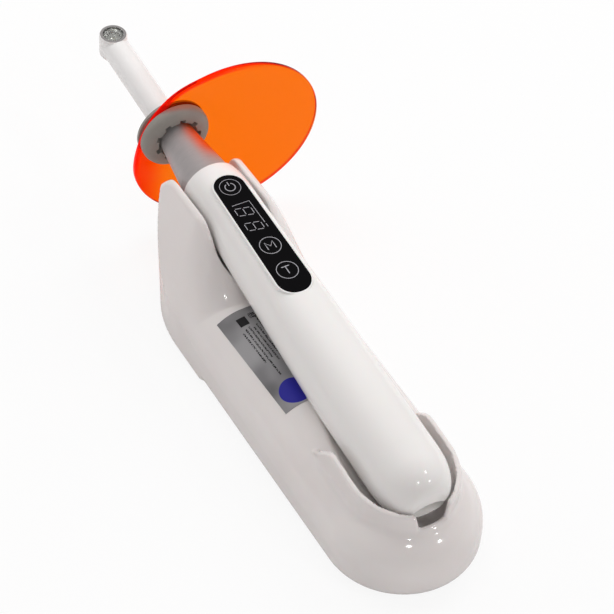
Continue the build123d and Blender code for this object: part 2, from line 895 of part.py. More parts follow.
cradle = {
    "base_shell": base_shell(),
    "bottom_cover": bottom_cover(),
    "rubber_feet": rubber_feet(),
    "cover_screws": cover_screws(),
    "charging_board": charging_board(),
    "dc_socket": dc_socket(),
    "socket_leads": socket_leads(),
    "contact_barrels": contact_barrels(),
    "contact_pin_left": contact_pin(contact_places()[0]),
    "contact_pin_right": contact_pin(contact_places()[1]),
    "label_foil": label_foil(),
}
handpiece = {
    "handle_shell": handle_shell(),
    "tail_insert": tail_insert(),
    "panel_window": panel_window(),
    "display_module": display_module(),
    "switch_domes": switch_domes(),
    "main_board": main_board(),
    "inner_frame": inner_frame(),
    "battery_cell": battery_cell(),
    "charging_pads": charging_pads(),
    "neck_cone": neck_cone(),
    "spigot_seal": spigot_seal(),
    "head_tube": head_tube(),
    "swivel_clip": swivel_clip(),
    "heat_pipe": heat_pipe(),
    "head_leads": head_leads(),
    "shield_ring": shield_ring(),
    "shield_disc": shield_disc(),
}
handpiece.update({name: key(at) for name, at in key_places().items()})
handpiece.update(light_stack())

for name, shape in cradle.items():
    write(name, shape)
for name, shape in handpiece.items():
    write(name, in_handpiece(shape))
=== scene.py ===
import json
import logging
import math
from dataclasses import dataclass
from enum import Enum

import bmesh
import bpy
import numpy as np
from mathutils import Matrix, Vector


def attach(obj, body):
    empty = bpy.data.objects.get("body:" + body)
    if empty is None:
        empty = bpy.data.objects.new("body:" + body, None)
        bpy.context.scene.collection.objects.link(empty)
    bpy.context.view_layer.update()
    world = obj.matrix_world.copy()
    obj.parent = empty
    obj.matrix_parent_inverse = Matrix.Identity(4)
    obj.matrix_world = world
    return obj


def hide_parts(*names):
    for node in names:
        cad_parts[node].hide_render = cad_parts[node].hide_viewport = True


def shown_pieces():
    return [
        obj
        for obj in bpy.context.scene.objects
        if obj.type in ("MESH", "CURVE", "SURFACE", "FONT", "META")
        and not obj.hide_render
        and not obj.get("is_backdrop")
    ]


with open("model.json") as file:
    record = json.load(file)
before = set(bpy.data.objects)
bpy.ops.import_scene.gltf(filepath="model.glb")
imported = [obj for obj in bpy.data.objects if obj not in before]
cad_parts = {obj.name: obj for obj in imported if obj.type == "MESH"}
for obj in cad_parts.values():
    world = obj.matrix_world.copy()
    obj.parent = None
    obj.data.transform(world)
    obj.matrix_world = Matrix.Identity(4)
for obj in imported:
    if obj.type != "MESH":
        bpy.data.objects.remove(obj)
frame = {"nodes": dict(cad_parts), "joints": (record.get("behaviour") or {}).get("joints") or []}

LOG = logging.getLogger("curing_light")
MM = 0.001
IMAGE_SIDE = 614
PLASTIC_IOR = 1.5
# How far a curve's handle reaches for a quarter circle, as a share of its radius
ARC_PULL = 0.552
# Millimetres that keep a form from closing to nothing
HAIR = 0.02
# The far and the near end of each ruled bar on the label, in millimetres
BAR_ENDS = [(20.0, -14.0), (14.5, -12.0), (13.5, -3.0), (14.5, -1.0), (14.0, -9.0), (13.0, -2.0)]

Colour = tuple[float, float, float, float]
Point = tuple[float, float, float]
Line = tuple[list[tuple[float, float]], bool]
Numbers = np.ndarray | float


def tone(red: float, green: float, blue: float) -> Colour:
    """Turns a colour as a screen shows it, from 0 to 255, into a linear one.

    Args:
        red: Red from 0 to 255.
        green: Green from 0 to 255.
        blue: Blue from 0 to 255.

    Returns:
        The linear colour with an alpha of 1.
    """
    shares = [value / 255 for value in (red, green, blue)]
    linear = [s / 12.92 if s < 0.04045 else ((s + 0.055) / 1.055) ** 2.4 for s in shares]
    return (*linear, 1.0)


def handpiece_frame() -> Matrix:
    """Gives the handpiece's own frame, worked out from the joint on its axis.

    Returns:
        A matrix from millimetres, with +Y along the axis and +Z to the panel, to the row frame.
    """
    joint = next(j for j in frame["joints"] if j["name"] == "shield_turn")
    tilt = math.atan2(joint["axis"][2], joint["axis"][1])
    turn = Matrix.Rotation(tilt, 4, "X")
    return Matrix.Translation(Vector(joint["pos_m"])) @ turn @ Matrix.Scale(MM, 4)


PEN = handpiece_frame()
TABLE = Matrix.Scale(MM, 4)


# Shader arithmetic
class Wire:
    """An output socket that takes part in Python arithmetic."""

    def __init__(self, paint: "Paint", socket: bpy.types.NodeSocket) -> None:
        """Keeps the socket and the tree that it belongs to."""
        self.paint = paint
        self.socket = socket

    def math(self, operation: str, *others: "Wire | float") -> "Wire":
        """Adds a Math node.

        Args:
            operation: The Math node's operation.
            others: Its other inputs.

        Returns:
            The node's output.
        """
        values = dict(enumerate((self, *others)))
        return self.paint.node("ShaderNodeMath", {"operation": operation}, values)

    def __add__(self, other: "Wire | float") -> "Wire":
        """Adds."""
        return self.math("ADD", other)

    __radd__ = __add__

    def __mul__(self, other: "Wire | float") -> "Wire":
        """Multiplies."""
        return self.math("MULTIPLY", other)

    __rmul__ = __mul__

    def __sub__(self, other: "Wire | float") -> "Wire":
        """Subtracts."""
        return self.math("SUBTRACT", other)

    def __rsub__(self, other: "Wire | float") -> "Wire":
        """Subtracts from a number."""
        return (self * -1.0) + other

    def __truediv__(self, other: "Wire | float") -> "Wire":
        """Divides."""
        return self.math("DIVIDE", other)

    def __pow__(self, other: "Wire | float") -> "Wire":
        """Raises to a power."""
        return self.math("POWER", other)

    def ramp(self, low: float, high: float, start: float = 0.0, end: float = 1.0) -> "Wire":
        """Turns a stretch of values into another, smoothly and held at both ends.

        Args:
            low: The value that gives start.
            high: The value that gives end.
            start: The result at and before low.
            end: The result at and after high.

        Returns:
            The remapped value.
        """
        settings = {"interpolation_type": "SMOOTHSTEP"}
        return self.paint.node(
            "ShaderNodeMapRange", settings, {0: self, 1: low, 2: high, 3: start, 4: end}
        )

    def band(self, low: float, high: float, soft: float) -> "Wire":
        """Gives 1 between two values and 0 outside, with soft edges."""
        return self.ramp(low - soft, low + soft) * self.ramp(high + soft, high - soft)


class Paint:
    """Builds the node tree of one material or world."""

    def __init__(self, owner: bpy.types.ID) -> None:
        """Starts an empty tree.

        Args:
            owner: The material or world that the tree belongs to.
        """
        owner.use_nodes = True
        self.owner = owner
        self.tree = owner.node_tree
        self.tree.nodes.clear()

    def node(self, kind: str, settings: dict, inputs: dict, out: int | str = 0) -> Wire:
        """Adds a node, sets it and links it.

        Args:
            kind: The node's type.
            settings: Its properties; stops gives a ramp's places and colours.
            inputs: The value or wire of each input, by its name or number.
            out: The output that is wanted.

        Returns:
            The wire of that output.
        """
        made = self.tree.nodes.new(kind)
        for key, value in settings.items():
            if key != "stops":
                setattr(made, key, value)
                continue
            elements = made.color_ramp.elements
            while len(elements) < len(value):
                elements.new(1.0)
            for element, (place, colour) in zip(elements, value):
                element.position = place
                element.color = colour
        for key, value in inputs.items():
            if isinstance(value, Wire):
                self.tree.links.new(value.socket, made.inputs[key])
            else:
                made.inputs[key].default_value = value
        return Wire(self, made.outputs[out])

    def place(self) -> Wire:
        """Gives the object coordinates in metres."""
        return self.node("ShaderNodeTexCoord", {}, {}, "Object")

    def local(self, matrix: Matrix) -> Wire:
        """Gives coordinates in millimetres in the frame that a matrix describes.

        Args:
            matrix: The frame's matrix, from millimetres to the row frame.

        Returns:
            The coordinates in that frame.
        """
        back = matrix.inverted()
        settings = {"vector_type": "POINT"}
        values = {1: back.to_translation(), 2: back.to_euler(), 3: back.to_scale()}
        return self.node("ShaderNodeMapping", settings, {0: self.place(), **values})

    def split(self, vector: Wire) -> tuple[Wire, Wire, Wire]:
        """Gives the three numbers of a vector."""
        made = self.node("ShaderNodeSeparateXYZ", {}, {0: vector}).socket.node
        return tuple(Wire(self, number) for number in made.outputs)

    def noise(self, scale: float, detail: float = 2.0, vector: Wire | None = None) -> Wire:
        """Gives soft noise.

        Args:
            scale: Its scale, per unit of the coordinates.
            detail: How many octaves it has.
            vector: The coordinates, or None for the object's, in metres.

        Returns:
            The noise, from 0 to 1.
        """
        values = {"Vector": vector or self.place(), "Scale": scale, "Detail": detail}
        return self.node("ShaderNodeTexNoise", {}, values)

    def mix(self, mask: Wire | float, low: Wire | Colour, high: Wire | Colour) -> Wire:
        """Mixes two colours by a mask."""
        return self.node("ShaderNodeMix", {"data_type": "RGBA"}, {0: mask, 6: low, 7: high}, 2)

    def bump(self, height: Wire, depth: float, strength: float = 1.0) -> Wire:
        """Gives a normal that follows a height.

        Args:
            height: The height, from 0 to 1.
            depth: The height of 1, in millimetres.
            strength: The node's strength.

        Returns:
            The normal.
        """
        values = {"Height": height, "Distance": depth * MM, "Strength": strength}
        return self.node("ShaderNodeBump", {}, values)

    def finish(self, **sockets: Wire | Colour | float) -> bpy.types.Material:
        """Adds the main shader and the output.

        Args:
            sockets: The shader's inputs, with _ in place of a blank.

        Returns:
            The material.
        """
        values = {key.replace("_", " "): value for key, value in sockets.items()}
        values.setdefault("IOR", PLASTIC_IOR)
        self.node_out(self.node("ShaderNodeBsdfPrincipled", {}, values))
        return self.owner

    def node_out(self, shader: Wire, kind: str = "ShaderNodeOutputMaterial") -> None:
        """Links a shader to the tree's output."""
        out = self.tree.nodes.new(kind)
        self.tree.links.new(shader.socket, out.inputs[0])


def material(name: str) -> Paint:
    """Starts a material of that name."""
    return Paint(bpy.data.materials.new(name))


# Finishes
@dataclass(frozen=True)
class Moulded:
    """Moulded plastic: nearly even, with faint clouds of tone and gloss and a fine skin."""

    name: str
    colour: Colour
    shade: Colour
    roughness: float = 0.16
    skin_depth: float = 0.006
    skin_scale: float = 900.0
    scatter: float = 0.0

    def build(self) -> bpy.types.Material:
        """Builds the material.

        Returns:
            The material.
        """
        paint = material(self.name)
        cloud = paint.noise(28.0, 3.0)
        specks = paint.noise(2600.0, 1.0).ramp(0.74, 0.8)
        colour = paint.mix(cloud.ramp(0.35, 0.7) * 0.5 + specks * 0.25, self.colour, self.shade)
        gloss = cloud.ramp(0.3, 0.7, self.roughness * 0.85, self.roughness * 1.15)
        handled = paint.noise(160.0, 4.0).ramp(0.55, 0.75) * (self.roughness * 0.35)
        skin = paint.bump(paint.noise(self.skin_scale, 2.0), self.skin_depth)
        return paint.finish(
            Base_Color=colour,
            Roughness=gloss + handled,
            Normal=skin,
            Subsurface_Weight=self.scatter,
            Subsurface_Scale=2.0 * MM,
        )


@dataclass(frozen=True)
class GlossBlack:
    """Polished black plastic with a few hair scratches in its gloss."""

    name: str
    colour: Colour
    roughness: float = 0.05
    ior: float = 1.22

    def build(self) -> bpy.types.Material:
        """Builds the material.

        Returns:
            The material.
        """
        paint = material(self.name)
        x, y, z = paint.split(paint.local(PEN))
        hairs = paint.node("ShaderNodeCombineXYZ", {}, {0: x * 9.0 + y * 2.0, 1: y * 0.5, 2: z})
        scratches = paint.noise(1.0, 2.0, hairs).ramp(0.68, 0.76)
        dust = paint.noise(3200.0, 1.0).ramp(0.76, 0.82)
        smear = paint.noise(60.0, 3.0).ramp(0.4, 0.7, 0.0, 0.05)
        colour = paint.mix(dust * 0.3 + scratches * 0.06, self.colour, tone(90, 90, 92))
        return paint.finish(
            Base_Color=colour,
            Roughness=smear + scratches * 0.12 + self.roughness,
            IOR=self.ior,
        )


@dataclass(frozen=True)
class TurnedMetal:
    """Metal with fine rings from the lathe, tinted along one side by the filter's light."""

    name: str
    colour: Colour
    roughness: float = 0.3
    ring_depth: float = 0.004
    rings_per_mm: float = 5.0
    glow: Colour = tone(232, 92, 2)
    glow_share: float = 1.0
    glow_from: float = 0.3
    glow_x: float = 0.88
    glow_z: float = 0.47
    glow_start: float = -25.0
    glow_end: float = -14.0

    def build(self) -> bpy.types.Material:
        """Builds the material.

        Returns:
            The material.
        """
        paint = material(self.name)
        x, y, z = paint.split(paint.local(PEN))
        along = paint.node("ShaderNodeCombineXYZ", {}, {0: x * 0.05, 1: y, 2: z * 0.05})
        rings = paint.noise(self.rings_per_mm, 3.0, along)
        cloud = paint.noise(80.0, 2.0)
        gloss = rings.ramp(0.3, 0.7, self.roughness * 0.85, self.roughness * 1.2)
        dark = tuple(0.86 * c for c in self.colour[:3]) + (1.0,)
        plain = paint.mix(rings.ramp(0.3, 0.7) * 0.4 + cloud * 0.25, self.colour, dark)
        side = (x * self.glow_x + z * self.glow_z) / (x * x + z * z) ** 0.5
        lit = side.ramp(self.glow_from, 1.0) * y.ramp(self.glow_start, self.glow_end)
        return paint.finish(
            Base_Color=paint.mix(lit * self.glow_share, plain, self.glow),
            Metallic=0.5,
            Roughness=gloss,
            Normal=paint.bump(rings, self.ring_depth),
        )


@dataclass(frozen=True)
class Metal:
    """Plain metal with clouds in its gloss."""

    name: str
    colour: Colour
    roughness: float = 0.2
    scale: float = 400.0

    def build(self) -> bpy.types.Material:
        """Builds the material.

        Returns:
            The material.
        """
        paint = material(self.name)
        cloud = paint.noise(self.scale, 3.0)
        dark = tuple(0.7 * c for c in self.colour[:3]) + (1.0,)
        return paint.finish(
            Base_Color=paint.mix(cloud.ramp(0.5, 0.8) * 0.4, self.colour, dark),
            Metallic=1.0,
            Roughness=cloud.ramp(0.3, 0.7, self.roughness * 0.7, self.roughness * 1.3),
            Normal=paint.bump(cloud, 0.003),
        )


@dataclass(frozen=True)
class Rubber:
    """Soft rubber with a matt grain."""

    name: str
    colour: Colour
    dusty: Colour
    roughness: float = 0.55
    grain_depth: float = 0.015

    def build(self) -> bpy.types.Material:
        """Builds the material.

        Returns:
            The material.
        """
        paint = material(self.name)
        grain = paint.noise(2200.0, 3.0)
        cloud = paint.noise(120.0, 3.0)
        mask = cloud.ramp(0.4, 0.75) * 0.5 + grain.ramp(0.6, 0.75) * 0.15
        return paint.finish(
            Base_Color=paint.mix(mask, self.colour, self.dusty),
            Roughness=grain.ramp(0.3, 0.7, self.roughness - 0.08, self.roughness + 0.08),
            Normal=paint.bump(grain, self.grain_depth),
        )


@dataclass(frozen=True)
class Filter:
    """Clear orange plastic with a painted glow on its rim, strongest at the upper left, and painted
    shade that turns its face redder towards the left.
    """

    name: str
    face: Colour
    shaded_red: Colour
    edge: Colour
    centre: tuple[float, float]
    radius: float

    def build(self) -> bpy.types.Material:
        """Builds the material.

        Returns:
            The material.
        """
        paint = material(self.name)
        x, _, z = paint.split(paint.local(PEN))
        off_x, off_z = x - self.centre[0], z - self.centre[1]
        reach = (off_x * off_x + off_z * off_z) ** 0.5
        # Painted glow: the rim is painted redder and given emission, over a wider band at the
        # upper-left corner, where its light is strongest.
        rim = reach.ramp(self.radius - 0.45, self.radius - 0.1)
        corner = ((off_z - off_x) / reach).ramp(0.3, 1.2)
        band = reach.ramp(self.radius - 2.2, self.radius - 1.0) * corner
        # Painted shade: the face is painted redder towards the left, standing in for shade seen
        # through the disc.
        face = paint.mix(x.ramp(1.0, -11.0), self.face, self.shaded_red)
        marks = paint.noise(700.0, 4.0).ramp(0.62, 0.8, 0.0, 0.05)
        glow = rim.math("MAXIMUM", band)
        return paint.finish(
            Base_Color=paint.mix(glow, face, self.edge),
            Emission_Color=paint.mix(glow * corner, (0.0, 0.0, 0.0, 1.0), self.edge),
            Emission_Strength=0.4,
            Roughness=marks + 0.02,
            Transmission_Weight=0.94,
            IOR=1.15,
        )


@dataclass(frozen=True)
class Clear:
    """Clear plastic or glass."""

    name: str
    colour: Colour
    roughness: float = 0.02

    def build(self) -> bpy.types.Material:
        """Builds the material.

        Returns:
            The material.
        """
        paint = material(self.name)
        smear = paint.noise(900.0, 3.0).ramp(0.5, 0.8, 0.0, 0.06)
        return paint.finish(
            Base_Color=self.colour,
            Roughness=smear + self.roughness,
            Transmission_Weight=0.9,
            IOR=1.49,
        )


@dataclass(frozen=True)
class Board:
    """A circuit board's green resist over its tracks."""

    name: str
    colour: Colour
    track: Colour

    def build(self) -> bpy.types.Material:
        """Builds the material.

        Returns:
            The material.
        """
        paint = material(self.name)
        values = {"Vector": paint.place(), "Scale": 900.0}
        cells = paint.node("ShaderNodeTexVoronoi", {"distance": "CHEBYCHEV"}, values)
        tracks = cells.ramp(0.25, 0.3) * cells.ramp(0.42, 0.37)
        return paint.finish(
            Base_Color=paint.mix(tracks, self.colour, self.track),
            Roughness=tracks * 0.1 + 0.3,
            Normal=paint.bump(tracks, 0.03),
        )


@dataclass(frozen=True)
class PrintedFoil:
    """Grey foil with ruled bars in place of words and a plain dark dot."""

    name: str
    foil: Colour
    ink: Colour
    dot: Colour
    middle: tuple[float, float]
    turn: float
    width: float

    def build(self) -> bpy.types.Material:
        """Builds the material.

        Returns:
            The material.
        """
        paint = material(self.name)
        spot = Matrix.Translation((self.middle[0] * MM, self.middle[1] * MM, 0.0))
        spot = spot @ Matrix.Rotation(math.radians(self.turn), 4, "Z") @ TABLE
        across, along, _ = paint.split(paint.local(spot))
        words = paint.node("ShaderNodeCombineXYZ", {}, {0: across * 1.3, 1: along * 1.1, 2: 0.0})
        broken = paint.noise(1.9, 4.0, words).ramp(0.44, 0.5)
        bars = None
        for left, first, last in self.rows():
            bar = across.band(left, left + 0.62, 0.08) * along.band(last, first, 0.1)
            bars = bar if bars is None else bars + bar
        ink = bars * broken
        ink = ink + across.band(-1.2, 2.2, 0.1) * along.band(15.6, 19.4, 0.1)
        ink = ink + across.band(3.4, 5.9, 0.1) * along.band(17.5, 20.0, 0.1) * broken
        down, beside = along + 16.8, across - 0.4
        far = (down * down + beside * beside) ** 0.5
        disc = far.ramp(5.35, 5.15)
        sheen = paint.noise(45.0, 2.0)
        colour = paint.mix(sheen.ramp(0.3, 0.7), self.foil, tone(112, 112, 114))
        colour = paint.mix(ink.ramp(0.3, 0.7), colour, self.ink)
        colour = paint.mix(disc, colour, self.dot)
        return paint.finish(
            Base_Color=colour,
            Metallic=(1.0 - disc) * 0.35,
            Roughness=paint.noise(2000.0, 2.0).ramp(0.3, 0.7, 0.3, 0.42),
        )

    def rows(self) -> list[tuple[float, float, float]]:
        """Gives each bar's left side, its far end and its near end, in millimetres."""
        half = self.width / 2
        return [(half - 1.3 - 1.45 * n, *ends) for n, ends in enumerate(BAR_ENDS)]


class Look(Enum):
    """The finishes of this object, by the piece that wears them."""

    BODY = Moulded(
        "white_gloss_plastic", tone(240, 239, 237), tone(233, 231, 229), 0.13, scatter=0.06
    )
    CRADLE = Moulded(
        "cradle_gloss_plastic", tone(235, 231, 229), tone(228, 222, 220), 0.11, scatter=0.06
    )
    TUBE = Moulded("tube_gloss_plastic", tone(241, 241, 240), tone(234, 234, 233), 0.18)
    COVER = Moulded("cover_plastic", tone(205, 203, 200), tone(196, 194, 190), 0.45, 0.03, 1500.0)
    INNER = Moulded("dark_inner_plastic", tone(48, 48, 52), tone(38, 38, 42), 0.5, 0.03, 1500.0)
    PANEL = GlossBlack("gloss_black_panel", tone(4, 4, 6))
    MARK = Moulded("grey_print", tone(168, 168, 174), tone(150, 150, 156), 0.4, 0.004, 3000.0)
    NECK = TurnedMetal("satin_aluminium", tone(188, 184, 184), 0.5)
    STEEL = Metal("plain_steel", tone(170, 170, 172), 0.28)
    CHROME = Metal("bright_plating", tone(226, 226, 226), 0.1)
    COPPER = Metal("bare_copper", tone(200, 128, 92), 0.25)
    GILT = Metal("gilt_contact", tone(220, 180, 96), 0.18)
    RING = Rubber("grey_rubber", tone(146, 142, 136), tone(160, 156, 148))
    FEET = Rubber("black_rubber", tone(34, 34, 36), tone(60, 58, 56), 0.7)
    LEAD = Rubber("lead_sleeve", tone(60, 16, 16), tone(82, 30, 28), 0.5)
    LENS = Clear("clear_lens", tone(206, 207, 204))
    BOARD = Board("green_board", tone(18, 84, 44), tone(40, 128, 72))
    CELL = Moulded("cell_wrap", tone(40, 78, 150), tone(32, 66, 132), 0.3)
    CHIP = Moulded("phosphor_chip", tone(232, 214, 96), tone(240, 226, 130), 0.6)


Worn = Look | Filter | PrintedFoil
MADE: dict[str, bpy.types.Material] = {}


def look(finish: Worn) -> bpy.types.Material:
    """Builds a finish once and gives its material.

    Args:
        finish: One of the named finishes, or a finish of its own.

    Returns:
        The material.
    """
    wanted = finish.value if isinstance(finish, Look) else finish
    if wanted.name not in MADE:
        MADE[wanted.name] = wanted.build()
    return MADE[wanted.name]


# Making pieces
def placed(name: str, data: bpy.types.ID) -> bpy.types.Object:
    """Adds an object to the scene.

    Args:
        name: Its name.
        data: Its mesh, curve, lamp or camera.

    Returns:
        The object.
    """
    made = bpy.data.objects.new(name, data)
    bpy.context.scene.collection.objects.link(made)
    return made


def meshed(shape: bmesh.types.BMesh) -> bpy.types.Mesh:
    """Turns a bmesh into a mesh.

    Args:
        shape: The bmesh, which is freed.

    Returns:
        The mesh.
    """
    mesh = bpy.data.meshes.new("piece")
    shape.to_mesh(mesh)
    shape.free()
    return mesh


def dress(finishes: dict[str, Worn]) -> None:
    """Gives CAD nodes their finishes.

    Args:
        finishes: What each node wears, by its name.
    """
    for node, finish in finishes.items():
        piece = frame["nodes"][node]
        if not piece.material_slots:
            piece.data.materials.append(None)
        for held in piece.material_slots:
            held.material = look(finish)


def add_piece(
    name: str,
    mesh: bpy.types.Mesh,
    body: str,
    finish: Worn,
    replaced: tuple[str, ...] = (),
) -> None:
    """Adds a finished mesh as a piece of the object.

    Args:
        name: The piece's name.
        mesh: Its mesh, in metres and in place.
        body: The CAD body that it rides on.
        finish: What it wears.
        replaced: The CAD nodes that it stands for.
    """
    mesh.name = name
    mesh.materials.clear()
    mesh.materials.append(look(finish))
    piece = placed(name, mesh)
    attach(piece, body)
    if replaced:
        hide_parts(*replaced)


def to_mesh(shape: bmesh.types.BMesh, matrix: Matrix, smooth: float = 35.0) -> bpy.types.Mesh:
    """Ends a bmesh as a mesh in the row frame, smooth except at sharp edges.

    Args:
        shape: The bmesh, in millimetres.
        matrix: Its place.
        smooth: The angle past which an edge stays sharp, in degrees.

    Returns:
        The mesh.
    """
    bmesh.ops.transform(shape, matrix=matrix, verts=shape.verts)
    for face in shape.faces:
        face.smooth = True
    for edge in shape.edges:
        if len(edge.link_faces) == 2 and edge.calc_face_angle() > math.radians(smooth):
            edge.smooth = False
    return meshed(shape)


def ringed(rings: list[np.ndarray], filled: bool = True) -> bmesh.types.BMesh:
    """Makes a skin through rings of points, from one circle that is pulled out ring by ring.

    Args:
        rings: Rings of the same number of (x, y, z) points, in order.
        filled: Whether the two ends are closed.

    Returns:
        The bmesh, in millimetres, with its faces outwards.
    """
    shape = bmesh.new()
    bmesh.ops.create_circle(shape, cap_ends=False, segments=len(rings[0]), radius=1.0)
    shape.verts.ensure_lookup_table()
    current, edges = list(shape.verts), list(shape.edges)
    for vert, place in zip(current, rings[0]):
        vert.co = place
    for ring in rings[1:]:
        order = {tuple(vert.co): n for n, vert in enumerate(current)}
        made = bmesh.ops.extrude_edge_only(shape, edges=edges)["geom"]
        edges = [item for item in made if isinstance(item, bmesh.types.BMEdge)]
        fresh = [item for item in made if isinstance(item, bmesh.types.BMVert)]
        current = sorted(fresh, key=lambda vert: order[tuple(vert.co)])
        for vert, place in zip(current, ring):
            vert.co = place
    if filled:
        bmesh.ops.holes_fill(shape, edges=shape.edges, sides=0)
    bmesh.ops.recalc_face_normals(shape, faces=shape.faces)
    return shape


def looped(rings: list[np.ndarray]) -> bmesh.types.BMesh:
    """Makes a closed skin through rings whose last one leads back to the first.

    Args:
        rings: Rings of the same number of points, in order.

    Returns:
        The bmesh, in millimetres, with its faces outwards.
    """
    shape = ringed([*rings, rings[0]], filled=False)
    bmesh.ops.remove_doubles(shape, verts=shape.verts, dist=1e-4)
    bmesh.ops.recalc_face_normals(shape, faces=shape.faces)
    return shape


def circle(count: int) -> tuple[np.ndarray, np.ndarray]:
    """Gives the cosines and the sines of even turns round a circle."""
    turns = np.linspace(0, 2 * math.pi, count, endpoint=False)
    return np.cos(turns), np.sin(turns)


def quarter(steps: int, first: int = 0) -> list[tuple[float, float]]:
    """Gives the cosine and the sine at even steps through a right angle."""
    turns = [math.pi / 2 * step / steps for step in range(first, steps + 1)]
    return [(math.cos(turn), math.sin(turn)) for turn in turns]


def ring_at(x: Numbers, y: Numbers, z: Numbers) -> np.ndarray:
    """Gives one (x, y, z) row for each point."""
    return np.stack(np.broadcast_arrays(x, y, z), axis=1)


def ease(share: Numbers) -> Numbers:
    """Makes a share from 0 to 1 start and end gently."""
    return share**2 * (3 - 2 * share)


def turned(profile: list[tuple[float, float]], segments: int) -> bmesh.types.BMesh:
    """Spins a closed outline of (radius, place) points about the handpiece's axis."""
    cos, sin = circle(segments)
    return looped([ring_at(radius * cos, place, radius * sin) for radius, place in profile])


def cut_from(shape: bmesh.types.BMesh, cutters: list[bmesh.types.BMesh]) -> bmesh.types.BMesh:
    """Takes closed shapes out of a closed shape.

    Args:
        shape: What is cut.
        cutters: What is taken out; they don't touch each other.

    Returns:
        What is left.
    """
    left, *tools = [meshed(part) for part in (shape, *cutters)]
    for cutter in tools:
        tool = placed("tool", cutter)
        settings = {"operation": "DIFFERENCE", "solver": "EXACT", "object": tool}
        left = evaluated(left, [("BOOLEAN", settings)])
        bpy.data.objects.remove(tool)
    result = bmesh.new()
    result.from_mesh(left)
    return result


def box_shape(low: Point, high: Point, turn: float) -> bmesh.types.BMesh:
    """Makes a closed block between two corners, as something to cut with.

    Args:
        low: Its lowest corner, in millimetres.
        high: Its highest corner.
        turn: How far it is turned about the handpiece's axis, in degrees.

    Returns:
        The block.
    """
    shape = bmesh.new()
    size = [b - a for a, b in zip(low, high)]
    middle = Matrix.Translation([(a + b) / 2 for a, b in zip(low, high)])
    spin = Matrix.Rotation(math.radians(turn), 4, "Y")
    place = spin @ middle @ Matrix.Diagonal((*size, 1.0))
    bmesh.ops.create_cube(shape, size=1.0, matrix=place)
    return shape


def evaluated(data: bpy.types.ID, modifiers: list[tuple[str, dict]]) -> bpy.types.Mesh:
    """Runs modifiers on a mesh or a curve.

    Args:
        data: The mesh or curve to start from.
        modifiers: Each modifier's type and settings, in order.

    Returns:
        The mesh that they make.
    """
    holder = placed("holder", data)
    for kind, settings in modifiers:
        made = holder.modifiers.new(kind.lower(), kind)
        for key, value in settings.items():
            setattr(made, key, value)
    graph = bpy.context.evaluated_depsgraph_get()
    result = bpy.data.meshes.new_from_object(holder.evaluated_get(graph))
    bpy.data.objects.remove(holder)
    return result


def strokes(lines: list[Line], width: float) -> bpy.types.Mesh:
    """Makes flat printed strokes with round ends, in the plane of the panel.

    Args:
        lines: Each line's (across, along) points and whether it closes.
        width: The strokes' width in millimetres.

    Returns:
        One mesh of all the strokes, in millimetres, with its middle height at 0.
    """
    curve = bpy.data.curves.new("strokes", "CURVE")
    curve.dimensions = "3D"
    curve.bevel_depth = width / 2
    curve.bevel_resolution = 2
    curve.use_fill_caps = True
    for points, closed in lines:
        spline = curve.splines.new("POLY")
        spline.points.add(len(points) - 1)
        for point, (x, y) in zip(spline.points, points):
            point.co = (x, y, 0.0, 1.0)
        spline.use_cyclic_u = closed
    return evaluated(curve, [])


def circle_points(radius: float, start: float = 0.0, end: float = 360.0) -> list[tuple]:
    """Gives points on an arc round the origin.

    Args:
        radius: The arc's radius.
        start: Its first angle in degrees.
        end: Its last angle in degrees.

    Returns:
        The points, without a repeated last one on a full circle.
    """
    full = end - start >= 360.0
    steps = max(12, round((end - start) / 7.5))
    count = steps if full else steps + 1
    turns = [math.radians(start + (end - start) * n / steps) for n in range(count)]
    return [(radius * math.cos(t), radius * math.sin(t)) for t in turns]


def unit(rows: np.ndarray) -> np.ndarray:
    """Gives each row the length 1."""
    return rows / np.maximum(np.linalg.norm(rows, axis=1, keepdims=True), 1e-6)


def read_rows(items: bpy.types.bpy_prop_collection, key: str) -> np.ndarray:
    """Reads three numbers from each of a mesh's items.

    Args:
        items: The mesh's vertices or their normals.
        key: The name of the numbers.

    Returns:
        One row for each item.
    """
    values = np.empty(len(items) * 3)
    items.foreach_get(key, values)
    return values.reshape(-1, 3)


# The cradle
def rounded_and(first: np.ndarray, second: np.ndarray, radius: float | np.ndarray) -> np.ndarray:
    """Gives what two solids share, with a rounded edge.

    Args:
        first: The distance outside one solid.
        second: The distance outside the other.
        radius: The rounding's radius.

    Returns:
        The distance outside the shared solid.
    """
    near = np.hypot(np.maximum(first + radius, 0), np.maximum(second + radius, 0))
    return np.minimum(np.maximum(first, second), -radius) + near


def rounded_or(first: np.ndarray, second: np.ndarray, radius: float | np.ndarray) -> np.ndarray:
    """Gives two solids together, with a fillet where they meet."""
    return -rounded_and(-first, -second, radius)


def oval_distance(x: Numbers, y: Numbers, across: Numbers, along: Numbers) -> np.ndarray:
    """Gives about how far outside an oval each point lies.

    Args:
        x: The points' places across it.
        y: Their places along it.
        across: Half the oval's width.
        along: Half its length.

    Returns:
        The distances, below 0 inside.
    """
    share = np.hypot(x / across, y / along)
    slope = np.hypot(x / across**2, y / along**2)
    return share * (share - 1) / np.maximum(slope, 1e-6)


